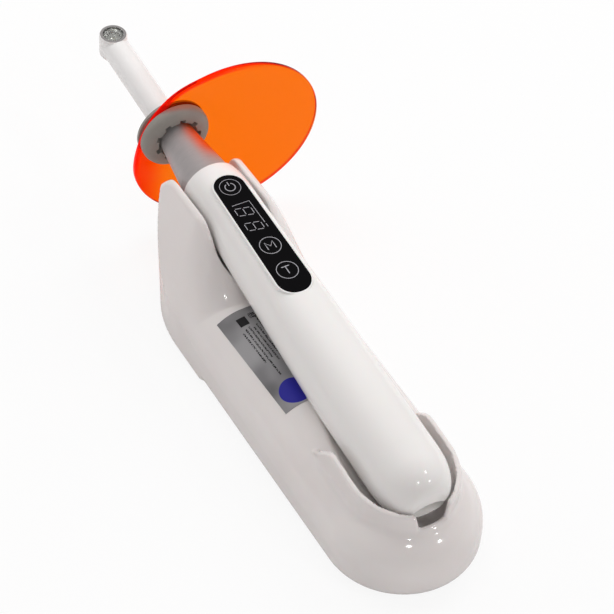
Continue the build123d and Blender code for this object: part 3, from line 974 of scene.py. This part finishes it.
@dataclass
class Cradle:
    """The cradle: one smooth moulded housing with rounded edges, and what it carries."""

    length: float = 171.6
    half_width: float = 26.0
    rear_oval: float = 38.0
    foot_lift: float = 0.6
    skirt_round: float = 4.0
    deck_front: float = 23.9
    deck_rear: float = 30.1
    deck_round: float = 15.8
    ear_top: float = 52.0
    ear_half: float = 14.6
    ear_crest: float = 2.1
    ear_back: float = 80.3
    ear_back_round: float = 9.0
    ear_crest_length: float = 17.0
    ear_fall: float = 27.0
    ear_blend: float = 3.0
    ear_edge: float = 1.6
    ear_foot: float = 4.0
    ear_sink: float = 1.5
    ear_lean: float = 1.5
    ear_outset: float = 0.5
    ear_soften: float = 1.2
    ear_swell: float = 0.6
    ear_crown: float = 0.3
    ear_points: int = 20
    collar_half: float = 18.3
    collar_oval: float = 20.6
    collar_wall: float = 1.95
    collar_inset: float = 8.3
    collar_above: float = 0.5
    collar_start: float = 10.0
    collar_ramp: float = 16.0
    ramp_sink: float = 0.18
    collar_blend: float = 1.8
    blend_slope: float = 0.3
    blend_from: float = 2.5
    rim_round: float = 0.85
    notch_floor: float = 23.5
    notch_length: float = 28.9
    notch_half: float = 4.4
    notch_spread: float = 0.2
    notch_round: float = 1.3
    pocket_at: tuple[float, ...] = (-190.0, -146.0, -135.0, -122.0, -105.0, -80.0, -60.0)
    pocket_halves: tuple[float, ...] = (12.9, 11.9, 11.5, 11.5)
    pocket_depths: tuple[float, ...] = (13.05, 13.05, 13.05, 13.05, 12.65, 11.7, 11.2)
    edge_round: float = 0.8
    voxel: float = 0.75
    keep_share: float = 0.8
    deepest: float = 1.5
    facing: float = 0.45
    longest_step: float = 0.8
    longest_way: float = 2.5
    probe: float = 0.04

    def deck(self, y: np.ndarray) -> np.ndarray:
        """Gives the deck's height at places along the cradle."""
        return self.deck_front + (self.deck_rear - self.deck_front) * (y / self.length + 0.5)

    def side(self, x: np.ndarray, y: np.ndarray) -> np.ndarray:
        """Gives the distance outside the footprint.

        Args:
            x: The points' places across the cradle.
            y: Their places along it.

        Returns:
            The distances.
        """
        front = y + self.length / 2 - self.half_width
        rear = y - self.length / 2 + self.rear_oval
        straight = np.abs(x) - self.half_width
        round_front = np.hypot(x, front) - self.half_width
        round_rear = oval_distance(x, rear, self.half_width, self.rear_oval)
        return np.where(front < 0, round_front, np.where(rear > 0, round_rear, straight))

    def body(self, x: np.ndarray, y: np.ndarray, z: np.ndarray) -> np.ndarray:
        """Gives the distance outside the lower body.

        Args:
            x: The points' places across the cradle.
            y: Their places along it.
            z: Their heights.

        Returns:
            The distances.
        """
        slope = math.atan((self.deck_rear - self.deck_front) / self.length)
        top = (z - self.deck(y)) * math.cos(slope)
        sides = rounded_and(self.side(x, y), top, self.deck_round)
        return rounded_and(sides, self.foot_lift - z, self.skirt_round)

    def ear_start(self) -> float:
        """Gives where the ears' crest begins along the cradle."""
        return self.ear_back - self.ear_back_round - self.ear_crest_length

    def rise(self, y: np.ndarray) -> np.ndarray:
        """Gives how far the ears have risen, from 0 to 1."""
        return ease(np.clip((y - self.ear_start() + self.ear_fall) / self.ear_fall, 0, 1))

    def ears(self, x: np.ndarray, y: np.ndarray, z: np.ndarray) -> np.ndarray:
        """Gives the distance outside the ears, each slice of which is a bent line.

        Args:
            x: The points' places across the cradle.
            y: Their places along it.
            z: Their heights.

        Returns:
            The distances.
        """
        rise = self.rise(y)
        sunk = 1 - rise
        top = (self.deck(y) - self.ear_sink) * sunk + self.ear_top * rise
        spring = self.deck(y) - self.deck_round - self.ear_foot
        pull = ARC_PULL * self.deck_round
        top_x = (self.half_width - self.deck_round - 1) * sunk
        top_x = top_x + (self.ear_half - self.ear_crest) * rise
        foot_x = self.half_width + self.ear_outset
        bend_x = [foot_x + 0 * rise, foot_x - self.ear_lean * rise - sunk]
        bend_x += [top_x + (pull - self.ear_soften) * sunk + self.ear_crest * rise, top_x]
        lift = spring + self.ear_foot + pull * (1 + self.ear_swell * rise)
        bend_z = [spring, lift, top + self.ear_crown * rise, top]
        share = np.linspace(0, 1, self.ear_points)[:, None]
        weights = [(1 - share) ** 3, 3 * share * (1 - share) ** 2]
        weights += [3 * share**2 * (1 - share), share**3]
        line_x = sum(w * b for w, b in zip(weights, bend_x))
        line_z = sum(w * b for w, b in zip(weights, bend_z))
        line_x = np.concatenate([line_x, 0 * top[None]])
        line_z = np.concatenate([line_z, top[None]])
        flat = np.abs(x)
        run_x, run_z = np.diff(line_x, axis=0), np.diff(line_z, axis=0)
        off_x, off_z = flat - line_x[:-1], z - line_z[:-1]
        part = np.clip((off_x * run_x + off_z * run_z) / (run_x**2 + run_z**2 + 1e-9), 0, 1)
        away = np.hypot(off_x - part * run_x, off_z - part * run_z).min(axis=0)
        cross = off_x * run_z - off_z * run_x
        here = (flat <= line_x[:-1]) & (flat > line_x[1:])
        outside = np.where(here, cross, 0).sum(axis=0) > 0
        outside |= flat >= line_x[0]
        start = self.ear_start() - self.ear_fall
        section = np.maximum(np.where(outside, away, -away), start - y)
        back = rounded_and(y - self.ear_back, z - self.ear_top, self.ear_back_round)
        return rounded_and(section, back, self.ear_edge)

    def collar(
        self, x: np.ndarray, y: np.ndarray, z: np.ndarray
    ) -> tuple[np.ndarray, np.ndarray, np.ndarray]:
        """Gives the distances outside the collar's wall and outside the pocket's outline.

        Args:
            x: The points' places across the cradle.
            y: Their places along it.
            z: Their heights.

        Returns:
            The wall's distances, the outline's, and how softly the wall meets the deck.
        """
        centre = -self.length / 2 + self.collar_inset + self.collar_oval
        front = np.minimum(y - centre, 0)
        walls = []
        for thickness in (0.0, self.collar_wall):
            half, oval = self.collar_half - thickness, self.collar_oval - thickness
            ahead = oval_distance(x, front, half, oval)
            walls.append(np.where(front < 0, ahead, np.abs(x) - half))
        outer, inner = walls
        flat_end = centre + self.collar_start
        tip = flat_end + self.collar_ramp
        fall = PEN.col[1].z / PEN.col[1].y
        level = self.axis_height(y) + self.collar_above
        share = np.clip((tip - y) / self.collar_ramp, 0, 1)
        low = self.deck(np.array(tip)) - self.ramp_sink * self.deck_round
        high = self.axis_height(np.array(flat_end)) + self.collar_above
        curve = low + (high - low) * share**2 * (3 - 2 * share)
        curve = curve - fall * self.collar_ramp * (share**3 - share**2)
        top = np.where(y < flat_end, level, curve)
        wall = rounded_and(outer, z - top, self.rim_round)
        wall = np.maximum(np.maximum(wall, y - tip), -inner)
        over = top - self.deck(y) + self.blend_from
        soft = np.clip(self.blend_slope * over, HAIR, self.collar_blend)
        return wall, inner, soft

    def axis_height(self, y: np.ndarray) -> np.ndarray:
        """Gives the handpiece's axis height at places along the cradle."""
        axis = PEN.col[1]
        return PEN.translation.z / MM + (y - PEN.translation.y / MM) * axis.z / axis.y

    def channel(self, x: np.ndarray, y: np.ndarray, z: np.ndarray) -> np.ndarray:
        """Gives the distance outside the round-floored space that the handpiece lies in.

        Args:
            x: The points' places across the cradle.
            y: Their places along it.
            z: Their heights.

        Returns:
            The distances.
        """
        axis = PEN.col[1] / PEN.col[1].length
        off_y, off_z = y - PEN.translation.y / MM, z - PEN.translation.z / MM
        at = off_y * axis.y + off_z * axis.z
        over = off_z * axis.y - off_y * axis.z
        pocket = self.collar_half - self.collar_wall
        halves = [pocket, pocket, pocket - 0.8, *self.pocket_halves]
        half = np.interp(at, self.pocket_at, halves)
        depth = np.interp(at, self.pocket_at, self.pocket_depths)
        below = oval_distance(x, np.minimum(over, 0), half, depth)
        return np.where(over < 0, below, np.abs(x) - half)

    def form(self, points: np.ndarray) -> np.ndarray:
        """Gives the distance outside the finished outer form.

        Args:
            points: Places in millimetres, one row each.

        Returns:
            One distance for each point, below 0 inside.
        """
        x, y, z = points.T
        rise = self.rise(y)
        soft = self.ear_blend * rise + HAIR
        solid = rounded_or(self.body(x, y, z), self.ears(x, y, z), soft)
        solid = np.maximum(solid, self.side(x, y))
        wall, inner, blend = self.collar(x, y, z)
        solid = rounded_or(solid, wall, blend)
        space = np.maximum(self.channel(x, y, z), inner)
        solid = rounded_and(solid, -space, self.edge_round)
        half = self.notch_half + self.notch_spread * (z - self.notch_floor)
        notch = np.maximum(np.abs(x) - half, self.notch_floor - z)
        notch = np.maximum(notch, y + self.length / 2 - self.notch_length)
        return rounded_and(solid, -notch, self.notch_round)

    def slope(self, points: np.ndarray) -> np.ndarray:
        """Gives the direction in which the form's distance grows fastest.

        Args:
            points: Places in millimetres, one row each.

        Returns:
            One direction for each point.
        """
        moves = self.probe * np.eye(3)
        rises = [self.form(points + move) - self.form(points - move) for move in moves]
        return np.stack(rises, axis=1) / (2 * self.probe)

    def housing_mesh(self) -> bpy.types.Mesh:
        """Remeshes the CAD housing evenly and settles its outside on the rounded form.

        Returns:
            The mesh, with the form's own normals on its outside.
        """
        shape = bmesh.new()
        shape.from_mesh(frame["nodes"]["base_shell"].data)
        bmesh.ops.remove_doubles(shape, verts=shape.verts, dist=0.002 * MM)
        remesh = {"mode": "VOXEL", "voxel_size": self.voxel * MM, "use_smooth_shade": True}
        steps = [("REMESH", remesh), ("DECIMATE", {"ratio": self.keep_share})]
        mesh = evaluated(meshed(shape), steps)
        points = read_rows(mesh.vertices, "co") / MM
        normals = read_rows(mesh.vertex_normals, "vector")
        facing = (unit(self.slope(points)) * normals).sum(axis=1) > self.facing
        outside = (self.form(points) > -self.deepest) & facing
        moved = points[outside]
        for _ in range(5):
            slope = self.slope(moved)
            size = np.maximum((slope**2).sum(axis=1), 0.25)
            step = slope * (self.form(moved) / size)[:, None]
            reach = np.linalg.norm(step, axis=1, keepdims=True)
            moved = moved - step * np.minimum(1, self.longest_step / np.maximum(reach, 1e-6))
        kept = np.linalg.norm(moved - points[outside], axis=1) < self.longest_way
        moved[~kept] = points[outside][~kept]
        moved[:, 2] = np.maximum(moved[:, 2], self.foot_lift)
        points[outside] = moved
        mesh.vertices.foreach_set("co", (points * MM).ravel())
        mesh.update()
        normals = read_rows(mesh.vertex_normals, "vector")
        normals[outside] = np.where(kept[:, None], unit(self.slope(moved)), normals[outside])
        mesh.normals_split_custom_set_from_vertices(normals.tolist())
        return mesh

    def build(self) -> None:
        """Makes the housing and dresses the rest."""
        housing = self.housing_mesh()
        add_piece("cradle_housing", housing, "cradle", Look.CRADLE, ("base_shell",))
        foil, ink, dot = tone(170, 170, 172), tone(20, 20, 24), tone(16, 14, 150)
        label = PrintedFoil("printed_foil", foil, ink, dot, (-12.2, 6.0), 1.8, 13.0)
        finishes = {
            "bottom_cover": Look.COVER,
            "rubber_feet": Look.FEET,
            "cover_screws": Look.STEEL,
            "charging_board": Look.BOARD,
            "dc_socket": Look.INNER,
            "socket_leads": Look.LEAD,
            "contact_barrels": Look.STEEL,
            "contact_pin_left": Look.GILT,
            "contact_pin_right": Look.GILT,
            "label_foil": label,
        }
        dress(finishes)
        LOG.info("cradle made")


# The handpiece, its light head and the eye shield
@dataclass
class Handpiece:
    """The handpiece: its housing, panel, keys, display marks and what is inside."""

    panel_top: float = 12.6
    lift: float = 0.012
    stroke: float = 0.36
    thin_stroke: float = 0.26
    ring: float = 3.62
    power_at: float = -40.7
    mode_at: float = -69.4
    time_at: float = -81.1
    symbol: float = 1.75
    letter_half: float = 1.45
    letter_rise: float = 1.6
    digit_x: float = -0.8
    digit_tall: float = 5.6
    digit_wide: float = 3.4
    digit_slant: float = -0.2
    digits_at: tuple[float, float] = (-52.6, -59.7)
    front: float = -26.7
    length: float = 146.3
    front_half: float = 10.45
    front_height: float = 10.95
    belly: float = 12.75
    shoulder_length: float = 12.0
    swell_length: float = 105.0
    tail_length: float = 19.0
    tail_side: float = 15.0
    tail_top: float = 11.0
    tip: float = 5.0
    tip_drop: float = 3.0
    lip: float = 0.9
    lip_steps: int = 8
    body_steps: int = 48
    nose_steps: int = 30
    squareness: float = 1.4
    segments: int = 144
    slot_half: float = 7.0
    slot_rise: float = 5.0
    slot_z: float = -3.8
    slot_depth: float = 4.0
    panel_front: float = -35.1
    panel_rear: float = -91.0
    panel_front_half: float = 5.45
    panel_rear_half: float = 5.95
    rim: float = 0.6
    rim_soft: float = 0.22
    rim_foot: float = 9.0
    rim_gap: float = 0.05
    panel_floor: float = 11.6
    pad_spread: float = 4.0
    pad_radius: float = 2.05
    pad_at: float = -152.0
    key_seat: float = 3.88
    flange_seat: float = 4.55
    flange_top: float = 11.15
    key_floor: float = 9.6

    def section(
        self, at: float, half: float, top: float, bottom: float, square: float
    ) -> np.ndarray:
        """Gives one ring of the housing: round below and squarer above.

        Args:
            at: Its place along the handpiece.
            half: Half its width.
            top: Its height above the axis.
            bottom: Its depth below the axis.
            square: How square its upper half is, from 2 for an oval.

        Returns:
            Its points.
        """
        cos, sin = circle(self.segments)
        power = np.where(sin > 0, 2 / square, 1.0)
        x = half * np.abs(cos) ** power * np.sign(cos)
        z = np.where(sin > 0, top, bottom) * np.abs(sin) ** power * np.sign(sin)
        return ring_at(x, at, z)

    def eased(self, value: float, start: float, end: float) -> float:
        """Gives how far a value has gone from a start to an end, gently at both."""
        return ease(min(1.0, max(0.0, (value - start) / (end - start))))

    def body_ring(self, length: float, inset: float) -> np.ndarray:
        """Gives one ring of the housing's straight part.

        Args:
            length: How far it lies behind the front.
            inset: How far it is drawn in.

        Returns:
            Its points.
        """
        swell = self.eased(length, self.shoulder_length, self.swell_length)
        rise = self.eased(length, -self.shoulder_length, self.shoulder_length)
        half = self.front_half + (self.belly - self.front_half) * swell
        level = self.panel_top + (self.belly - self.panel_top) * swell
        top = level - 2 * (self.panel_top - self.front_height) * (1 - rise)
        square = 2 + self.squareness * (rise - 0.5) * (1 - swell)
        return self.section(self.front - length, half - inset, top - inset, half - inset, square)

    def nose_ring(self, depth: float) -> np.ndarray:
        """Gives a ring of the round tail, whose underside rises before its top falls.

        Args:
            depth: How far it lies behind the tail's start.

        Returns:
            Its points.
        """
        reaches = []
        for length, tip in (
            (self.tail_side, self.tip),
            (self.tail_top, self.tip),
            (self.tail_length, self.tip_drop),
        ):
            share = max(0.0, 1 - (self.tail_length - depth) / length)
            reaches.append(tip + (self.belly - tip) * math.sqrt(1 - share**2))
        start = self.front - self.length + self.tail_length
        return self.section(start - depth, *reaches, 2.0)

    def housing(self) -> bpy.types.Mesh:
        """Makes the smooth housing, with its tail recess and the seats of the charging pads.

        Returns:
            The mesh.
        """
        rings = [self.body_ring(HAIR, self.lip + 0.6)]
        for cos, sin in quarter(self.lip_steps):
            rings.append(self.body_ring(self.lip * (1 - cos), self.lip * (1 - sin)))
        straight = self.length - self.tail_length - self.lip
        for step in range(1, self.body_steps + 1):
            rings.append(self.body_ring(self.lip + straight * step / self.body_steps, 0.0))
        for _, sin in quarter(self.nose_steps, 1):
            rings.append(self.nose_ring((self.tail_length - HAIR) * sin))
        cutters = [self.slot_cutter(self.front - self.length), *self.pad_cutters()]
        cutters.append(ringed([self.panel_ring(self.rim_gap, z) for z in (self.panel_floor, 15.0)]))
        cutters += [self.key_cutter(at) for at in (self.power_at, self.mode_at, self.time_at)]
        return to_mesh(cut_from(ringed(rings), cutters), PEN)

    def key_cutter(self, at: float) -> bmesh.types.BMesh:
        """Makes the stepped seat of one key and its flange.

        Args:
            at: The key's place along the handpiece.

        Returns:
            The seat's shape.
        """
        cos, sin = circle(48)
        levels = [(self.flange_seat, self.key_floor), (self.flange_seat, self.flange_top)]
        levels.append((self.key_seat, self.flange_top + 0.01))
        levels.append((self.key_seat, self.panel_floor + 0.3))
        return ringed([ring_at(r * cos, at + r * sin, z) for r, z in levels])

    def slot_cutter(self, end: float) -> bmesh.types.BMesh:
        """Makes the arch that is cut into the tail.

        Args:
            end: The tail's end along the handpiece.

        Returns:
            The arch's shape.
        """
        turns = np.linspace(0, math.pi, 40)
        x, z = self.slot_half * np.cos(turns), self.slot_z + self.slot_rise * np.sin(turns)
        return ringed([ring_at(x, at, z) for at in (end - 1, end + self.slot_depth)])

    def pad_cutters(self) -> list[bmesh.types.BMesh]:
        """Makes the two round seats under the tail.

        Returns:
            One shape for each seat.
        """
        cos, sin = circle(40)
        x, y = self.pad_radius * cos, self.pad_radius * sin + self.pad_at
        seat = 0.8 - math.sqrt(self.belly**2 - self.pad_spread**2)
        sides = (-self.pad_spread, self.pad_spread)
        return [ringed([ring_at(x + side, y, z) for z in (-20.0, seat)]) for side in sides]

    def panel_ring(self, grow: float, z: float) -> np.ndarray:
        """Gives the panel's outline at a height.

        Args:
            grow: How far it lies outside the panel.
            z: Its height above the axis.

        Returns:
            Its points.
        """
        cos, sin = circle(128)
        ahead = sin > 0
        reach = np.where(ahead, self.panel_front_half, self.panel_rear_half)
        first = self.panel_front - self.panel_front_half
        last = self.panel_rear + self.panel_rear_half
        y = np.where(ahead, first, last) + (reach + grow) * sin
        return ring_at((reach + grow) * cos, y, z)

    def rim_mesh(self) -> bpy.types.Mesh:
        """Makes the thin raised rim round the panel, with softened edges.

        Returns:
            The mesh.
        """
        top, soft, gap = self.panel_top, self.rim_soft, self.rim_gap
        rings = [self.panel_ring(self.rim, self.rim_foot)]
        for cos, sin in quarter(5):
            rings.append(self.panel_ring(self.rim - soft * (1 - cos), top - soft + soft * sin))
        for grow, z in ((gap + 0.05, top), (gap, top - 0.05), (gap, self.rim_foot)):
            rings.append(self.panel_ring(grow, z))
        return to_mesh(looped(rings), PEN, 50.0)

    def printed(self, name: str, body: str, lines: list[Line], width: float, at: float) -> None:
        """Adds printed strokes on the panel or a key.

        Args:
            name: The piece's name.
            body: The body that it rides on.
            lines: The strokes' lines, round their own middle.
            width: Their width.
            at: The middle's place along the handpiece.
        """
        mesh = strokes(lines, width)
        thin = Matrix.Diagonal((1.0, 1.0, 2 * self.lift / width, 1.0))
        mesh.transform(PEN @ Matrix.Translation((0, at, self.panel_top)) @ thin)
        for face in mesh.polygons:
            face.use_smooth = True
        add_piece(name, mesh, body, Look.MARK)

    def eight(self, at: float) -> list[Line]:
        """Gives the seven strokes of one figure, which stands across the handpiece.

        Args:
            at: The figure's middle along the handpiece.

        Returns:
            The strokes' lines.
        """
        tall, wide = self.digit_tall / 2, self.digit_wide / 2
        gap = 0.14
        lines = []
        for x in (-tall, 0.0, tall):
            lines.append([(x, -wide + gap + 0.3), (x, wide - gap - 0.3)])
        for start in (-tall, 0.0):
            for y in (-wide, wide):
                lines.append([(start + gap + 0.25, y), (start + tall - gap - 0.25, y)])
        return [
            ([(x + self.digit_x, y + at + self.digit_slant * x) for x, y in line], False)
            for line in lines
        ]

    def marks(self) -> None:
        """Prints the keys' marks and the display's figures."""
        outline = [(circle_points(self.ring), True)]
        power = [(circle_points(self.symbol, 118.0, 422.0), False)]
        power.append(([(0.0, 0.7), (0.0, self.symbol + 0.75)], False))
        half, rise = self.letter_half, self.letter_rise
        strokes_m = [(-half, -rise), (-half, rise), (0.0, -0.35), (half, rise), (half, -rise)]
        letter_m = [(strokes_m, False)]
        letter_t = [([(-half, rise), (half, rise)], False), ([(0.0, rise), (0.0, -rise)], False)]
        for name, lines, width, at in (
            ("power_mark", power, self.stroke, self.power_at),
            ("power_outline", outline, self.thin_stroke * 0.8, self.power_at),
            ("mode_outline", outline, self.thin_stroke, self.mode_at),
            ("time_outline", outline, self.thin_stroke, self.time_at),
            ("mode_mark", letter_m, self.stroke, self.mode_at),
            ("time_mark", letter_t, self.stroke, self.time_at),
        ):
            self.printed(name, name.split("_")[0] + "_button", lines, width, at)
        figures = [line for at in self.digits_at for line in self.eight(at)]
        self.printed("display_figures", "handpiece", figures, self.thin_stroke, 0.0)
        bracket = [([(-3.5, -48.8), (2.9, -48.8), (3.2, -59.6)], False)]
        bracket.append(([(3.25, -60.3), (3.3, -61.7)], False))
        self.printed("display_bracket", "handpiece", bracket, self.thin_stroke, 0.0)

    def build(self) -> None:
        """Makes the marks, the housing and the panel's rim, and dresses the nodes."""
        self.marks()
        shell = self.housing()
        add_piece("handle_housing", shell, "handpiece", Look.BODY, ("handle_shell",))
        add_piece("panel_rim", self.rim_mesh(), "handpiece", Look.BODY)
        finishes = {
            "tail_insert": Look.COVER,
            "panel_window": Look.PANEL,
            "key_power": Look.PANEL,
            "key_mode": Look.PANEL,
            "key_time": Look.PANEL,
            "display_module": Look.INNER,
            "switch_domes": Look.STEEL,
            "main_board": Look.BOARD,
            "inner_frame": Look.INNER,
            "battery_cell": Look.CELL,
            "charging_pads": Look.GILT,
            "neck_cone": Look.NECK,
            "spigot_seal": Look.FEET,
        }
        dress(finishes)
        LOG.info("handpiece made")


@dataclass
class LightHead:
    """The white tube with its lens and what lies under it."""

    def build(self) -> None:
        """Dresses the head's nodes."""
        finishes = {
            "head_tube": Look.TUBE,
            "swivel_clip": Look.STEEL,
            "heat_pipe": Look.COPPER,
            "head_leads": Look.LEAD,
            "led_board": Look.COPPER,
            "led_chip": Look.CHIP,
            "reflector": Look.CHROME,
            "lens": Look.LENS,
            "lens_ring": Look.CHROME,
        }
        dress(finishes)
        LOG.info("light head made")


@dataclass
class EyeShield:
    """The rubber ring and the round orange filter."""

    radius: float = 36.39
    thickness: float = 1.82
    near: float = 1.49
    hole: float = 10.18
    offset: float = 24.56
    turn: float = 27.9
    edge_round: float = 0.45
    sides: int = 192
    bow_x: float = -0.056
    bow_z: float = -0.053
    bow_from: float = 12.5
    bow_over: float = 13.0
    ring: float = 13.0
    ring_far: float = 4.6
    ring_soft: float = 0.35
    crown: float = 2.4
    mouth: float = 7.5
    mouth_floor: float = -0.8
    bore_near: float = 6.52
    bore_far: float = 5.9
    groove: float = 10.1
    groove_gap: float = 0.04
    teeth: int = 9
    slot_reach: float = 8.9
    slot_half: float = 1.1
    slot_turn: float = 1.0

    def disc_ring(self, share: float, y: float, inset: float = 0.0) -> np.ndarray:
        """Gives a ring of the filter, from its hole at share 0 to its rim at share 1.

        Args:
            share: How far the ring lies from the hole to the rim.
            y: Its place along the axis, before the filter's bow.
            inset: How far it is drawn in from the rim.

        Returns:
            Its points.
        """
        cos, sin = circle(self.sides)
        x, z = self.centre()
        rim = self.radius - inset
        off_x = (1 - share) * self.hole * cos + share * (x + rim * cos)
        off_z = (1 - share) * self.hole * sin + share * (z + rim * sin)
        reach = np.clip((np.hypot(off_x, off_z) - self.bow_from) / self.bow_over, 0, 1)
        bow = (self.bow_x * off_x + self.bow_z * off_z) * reach**2 * (3 - 2 * reach)
        return ring_at(off_x, y + bow, off_z)

    def disc_mesh(self) -> bpy.types.Mesh:
        """Makes the filter: a slightly bowed plate with a hole and a softened rim.

        Returns:
            The mesh.
        """
        near, far, soft = self.near, self.near + self.thickness, self.edge_round
        shares = np.linspace(0, 1, 14) ** 0.8
        rings = [self.disc_ring(share, near, soft) for share in shares]
        for cos, sin in quarter(4, 1):
            rings.append(self.disc_ring(1.0, near + soft * (1 - cos), soft * (1 - sin)))
        for cos, sin in quarter(4):
            rings.append(self.disc_ring(1.0, far - soft * (1 - sin), soft * (1 - cos)))
        rings += [self.disc_ring(share, far, soft) for share in shares[-2::-1]]
        return to_mesh(looped(rings), PEN, 60.0)

    def centre(self) -> tuple[float, float]:
        """Gives the filter's middle, as (across, up) from the ring's."""
        turn = math.radians(self.turn)
        return self.offset * math.cos(turn), -self.offset * math.sin(turn)

    def ring_mesh(self) -> bpy.types.Mesh:
        """Makes the rubber ring: a crowned face with soft edges, groove, far lip and teeth.

        Returns:
            The mesh.
        """
        soft = self.ring_soft
        profile = [(self.mouth, -self.crown + soft)]
        for cos, sin in quarter(5, 1):
            profile.append((self.mouth + soft * (1 - cos), -self.crown + soft * (1 - sin)))
        for step in range(1, 13):
            share = step / 12
            radius = self.mouth + soft + (self.ring - self.mouth - soft) * share
            profile.append((radius, -self.crown * math.sqrt(1 - share**2.6)))
        groove_near, groove_far = self.near - self.groove_gap, self.near + self.thickness
        groove_far += self.groove_gap
        profile += [(self.ring, groove_near), (self.groove, groove_near)]
        profile += [(self.groove, groove_far), (self.ring, groove_far)]
        profile += [(self.ring, self.ring_far - 0.3), (self.ring - 0.3, self.ring_far)]
        profile += [(self.bore_far, self.ring_far), (self.bore_near, self.mouth_floor)]
        cutters = []
        for count in range(self.teeth):
            low = (self.bore_far - 1.0, -2 * self.ring_far, -self.slot_half)
            high = (self.slot_reach, 3 * self.ring_far, self.slot_half)
            turn = -(count + self.slot_turn) * 360 / self.teeth
            cutters.append(box_shape(low, high, turn))
        return to_mesh(cut_from(turned(profile, 144), cutters), PEN, 30.0)

    def build(self) -> None:
        """Makes the filter and the ring."""
        colours = tone(255, 118, 1), tone(252, 60, 0), tone(232, 14, 0)
        finish = Filter("orange_filter", *colours, self.centre(), self.radius)
        disc, ring = self.disc_mesh(), self.ring_mesh()
        add_piece("filter_disc", disc, "eye_shield", finish, ("shield_disc",))
        add_piece("rubber_ring", ring, "eye_shield", Look.RING, ("shield_ring",))
        LOG.info("eye shield made")


# The studio
@dataclass
class Lamp:
    """A square soft lamp: where it stands, what it is aimed at, its side and its power."""

    name: str
    place: Point
    aim: Point
    side: float
    power: float
    mirrored: bool = False

    def build(self) -> None:
        """Adds the lamp; only a mirrored one shows in gloss."""
        data = bpy.data.lights.new(self.name, "AREA")
        data.shape = "SQUARE"
        data.size = self.side
        data.energy = self.power
        lamp = placed(self.name, data)
        lamp.visible_glossy = self.mirrored
        lamp.location = self.place
        aim = Vector(self.aim) - Vector(self.place)
        lamp.rotation_euler = aim.to_track_quat("-Z", "Y").to_euler()


@dataclass
class Studio:
    """Camera, floor, backdrop light and lamps."""

    eye: Point = (-0.20379, -0.33732, 0.43454)
    forward: Point = (0.36787, 0.61343, -0.69884)
    roll: float = 2.235
    focal_pixels: float = 1719.9
    sensor: float = 36.0
    world_strength: float = 0.4
    fill: Colour = (1.0, 0.945, 0.94, 1.0)
    floor_white: float = 0.88

    def camera(self) -> None:
        """Adds the camera at the photograph's place, turn and angle of view."""
        data = bpy.data.cameras.new("view")
        data.sensor_width = self.sensor
        data.lens = self.focal_pixels / IMAGE_SIDE * self.sensor
        data.clip_start = 0.01
        data.clip_end = 20.0
        camera = placed("view", data)
        turn = Vector(self.forward).to_track_quat("-Z", "Y").to_matrix().to_4x4()
        spin = Matrix.Rotation(math.radians(self.roll), 4, "Z")
        camera.matrix_world = Matrix.Translation(self.eye) @ turn @ spin
        bpy.context.scene.camera = camera

    def world(self) -> None:
        """Lights the room evenly and shows it white to the camera and through clear plastic."""
        world = bpy.data.worlds.new("room")
        bpy.context.scene.world = world
        paint = Paint(world)
        seen = self.seen(paint)
        strength = seen * (1.0 - self.world_strength) + self.world_strength
        values = {"Color": paint.mix(seen, self.fill, (1.0, 1.0, 1.0, 1.0)), "Strength": strength}
        shader = paint.node("ShaderNodeBackground", {}, values)
        paint.node_out(shader, "ShaderNodeOutputWorld")

    def seen(self, paint: Paint) -> Wire:
        """Marks what the camera sees, directly or through clear plastic.

        Args:
            paint: The tree that asks.

        Returns:
            1 for such a ray and 0 for others.
        """
        first = paint.node("ShaderNodeLightPath", {}, {}, "Is Camera Ray")
        through = Wire(paint, first.socket.node.outputs["Is Transmission Ray"])
        return first.math("MAXIMUM", through)

    def floor(self) -> None:
        """Adds a wide white floor that keeps a faint shadow."""
        shape = bmesh.new()
        bmesh.ops.create_grid(shape, x_segments=1, y_segments=1, size=6.0)
        mesh = meshed(shape)
        paint = material("pale_floor")
        pale = paint.node("ShaderNodeBsdfDiffuse", {}, {"Color": (0.86, 0.86, 0.86, 1.0)})
        white = paint.node("ShaderNodeEmission", {}, {"Color": (1.0, 1.0, 1.0, 1.0)})
        mask = self.seen(paint) * self.floor_white
        paint.node_out(paint.node("ShaderNodeMixShader", {}, {0: mask, 1: pale, 2: white}))
        mesh.materials.append(paint.owner)
        floor = placed("floor", mesh)
        floor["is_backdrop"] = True

    def build(self) -> None:
        """Sets the whole studio."""
        bpy.context.scene.view_settings.view_transform = "Standard"
        self.camera()
        self.world()
        self.floor()
        middle = (0.0, 0.0, 0.03)
        for lamp in (
            Lamp("key", (0.75, 0.3, 0.8), middle, 0.6, 4.4),
            Lamp("top", (0.0, 0.5, 0.95), middle, 0.6, 3.0),
            Lamp("left", (-0.6, 0.75, 0.5), middle, 0.5, 1.8),
            Lamp("spark_left", (-0.2, -0.75, 0.65), middle, 0.05, 0.6, True),
            Lamp("spark_middle", (0.38, -0.8, 0.5), middle, 0.05, 0.6, True),
            Lamp("spark_right", (0.35, -0.45, 0.8), middle, 0.05, 0.6, True),
        ):
            lamp.build()
        LOG.info("studio set")


def write_sizes() -> None:
    """Brings the view layer up to date.
    """
    bpy.context.view_layer.update()


def main() -> None:
    """Builds the object and the studio, and reports each piece."""
    logging.basicConfig(level=logging.INFO, format="%(message)s")
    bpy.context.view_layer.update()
    for part in (Cradle(), Handpiece(), LightHead(), EyeShield(), Studio()):
        part.build()
    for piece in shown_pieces():
        LOG.info("%s: %d faces", piece.name, len(piece.data.polygons))
    write_sizes()


if __name__ == "__main__":
    main()
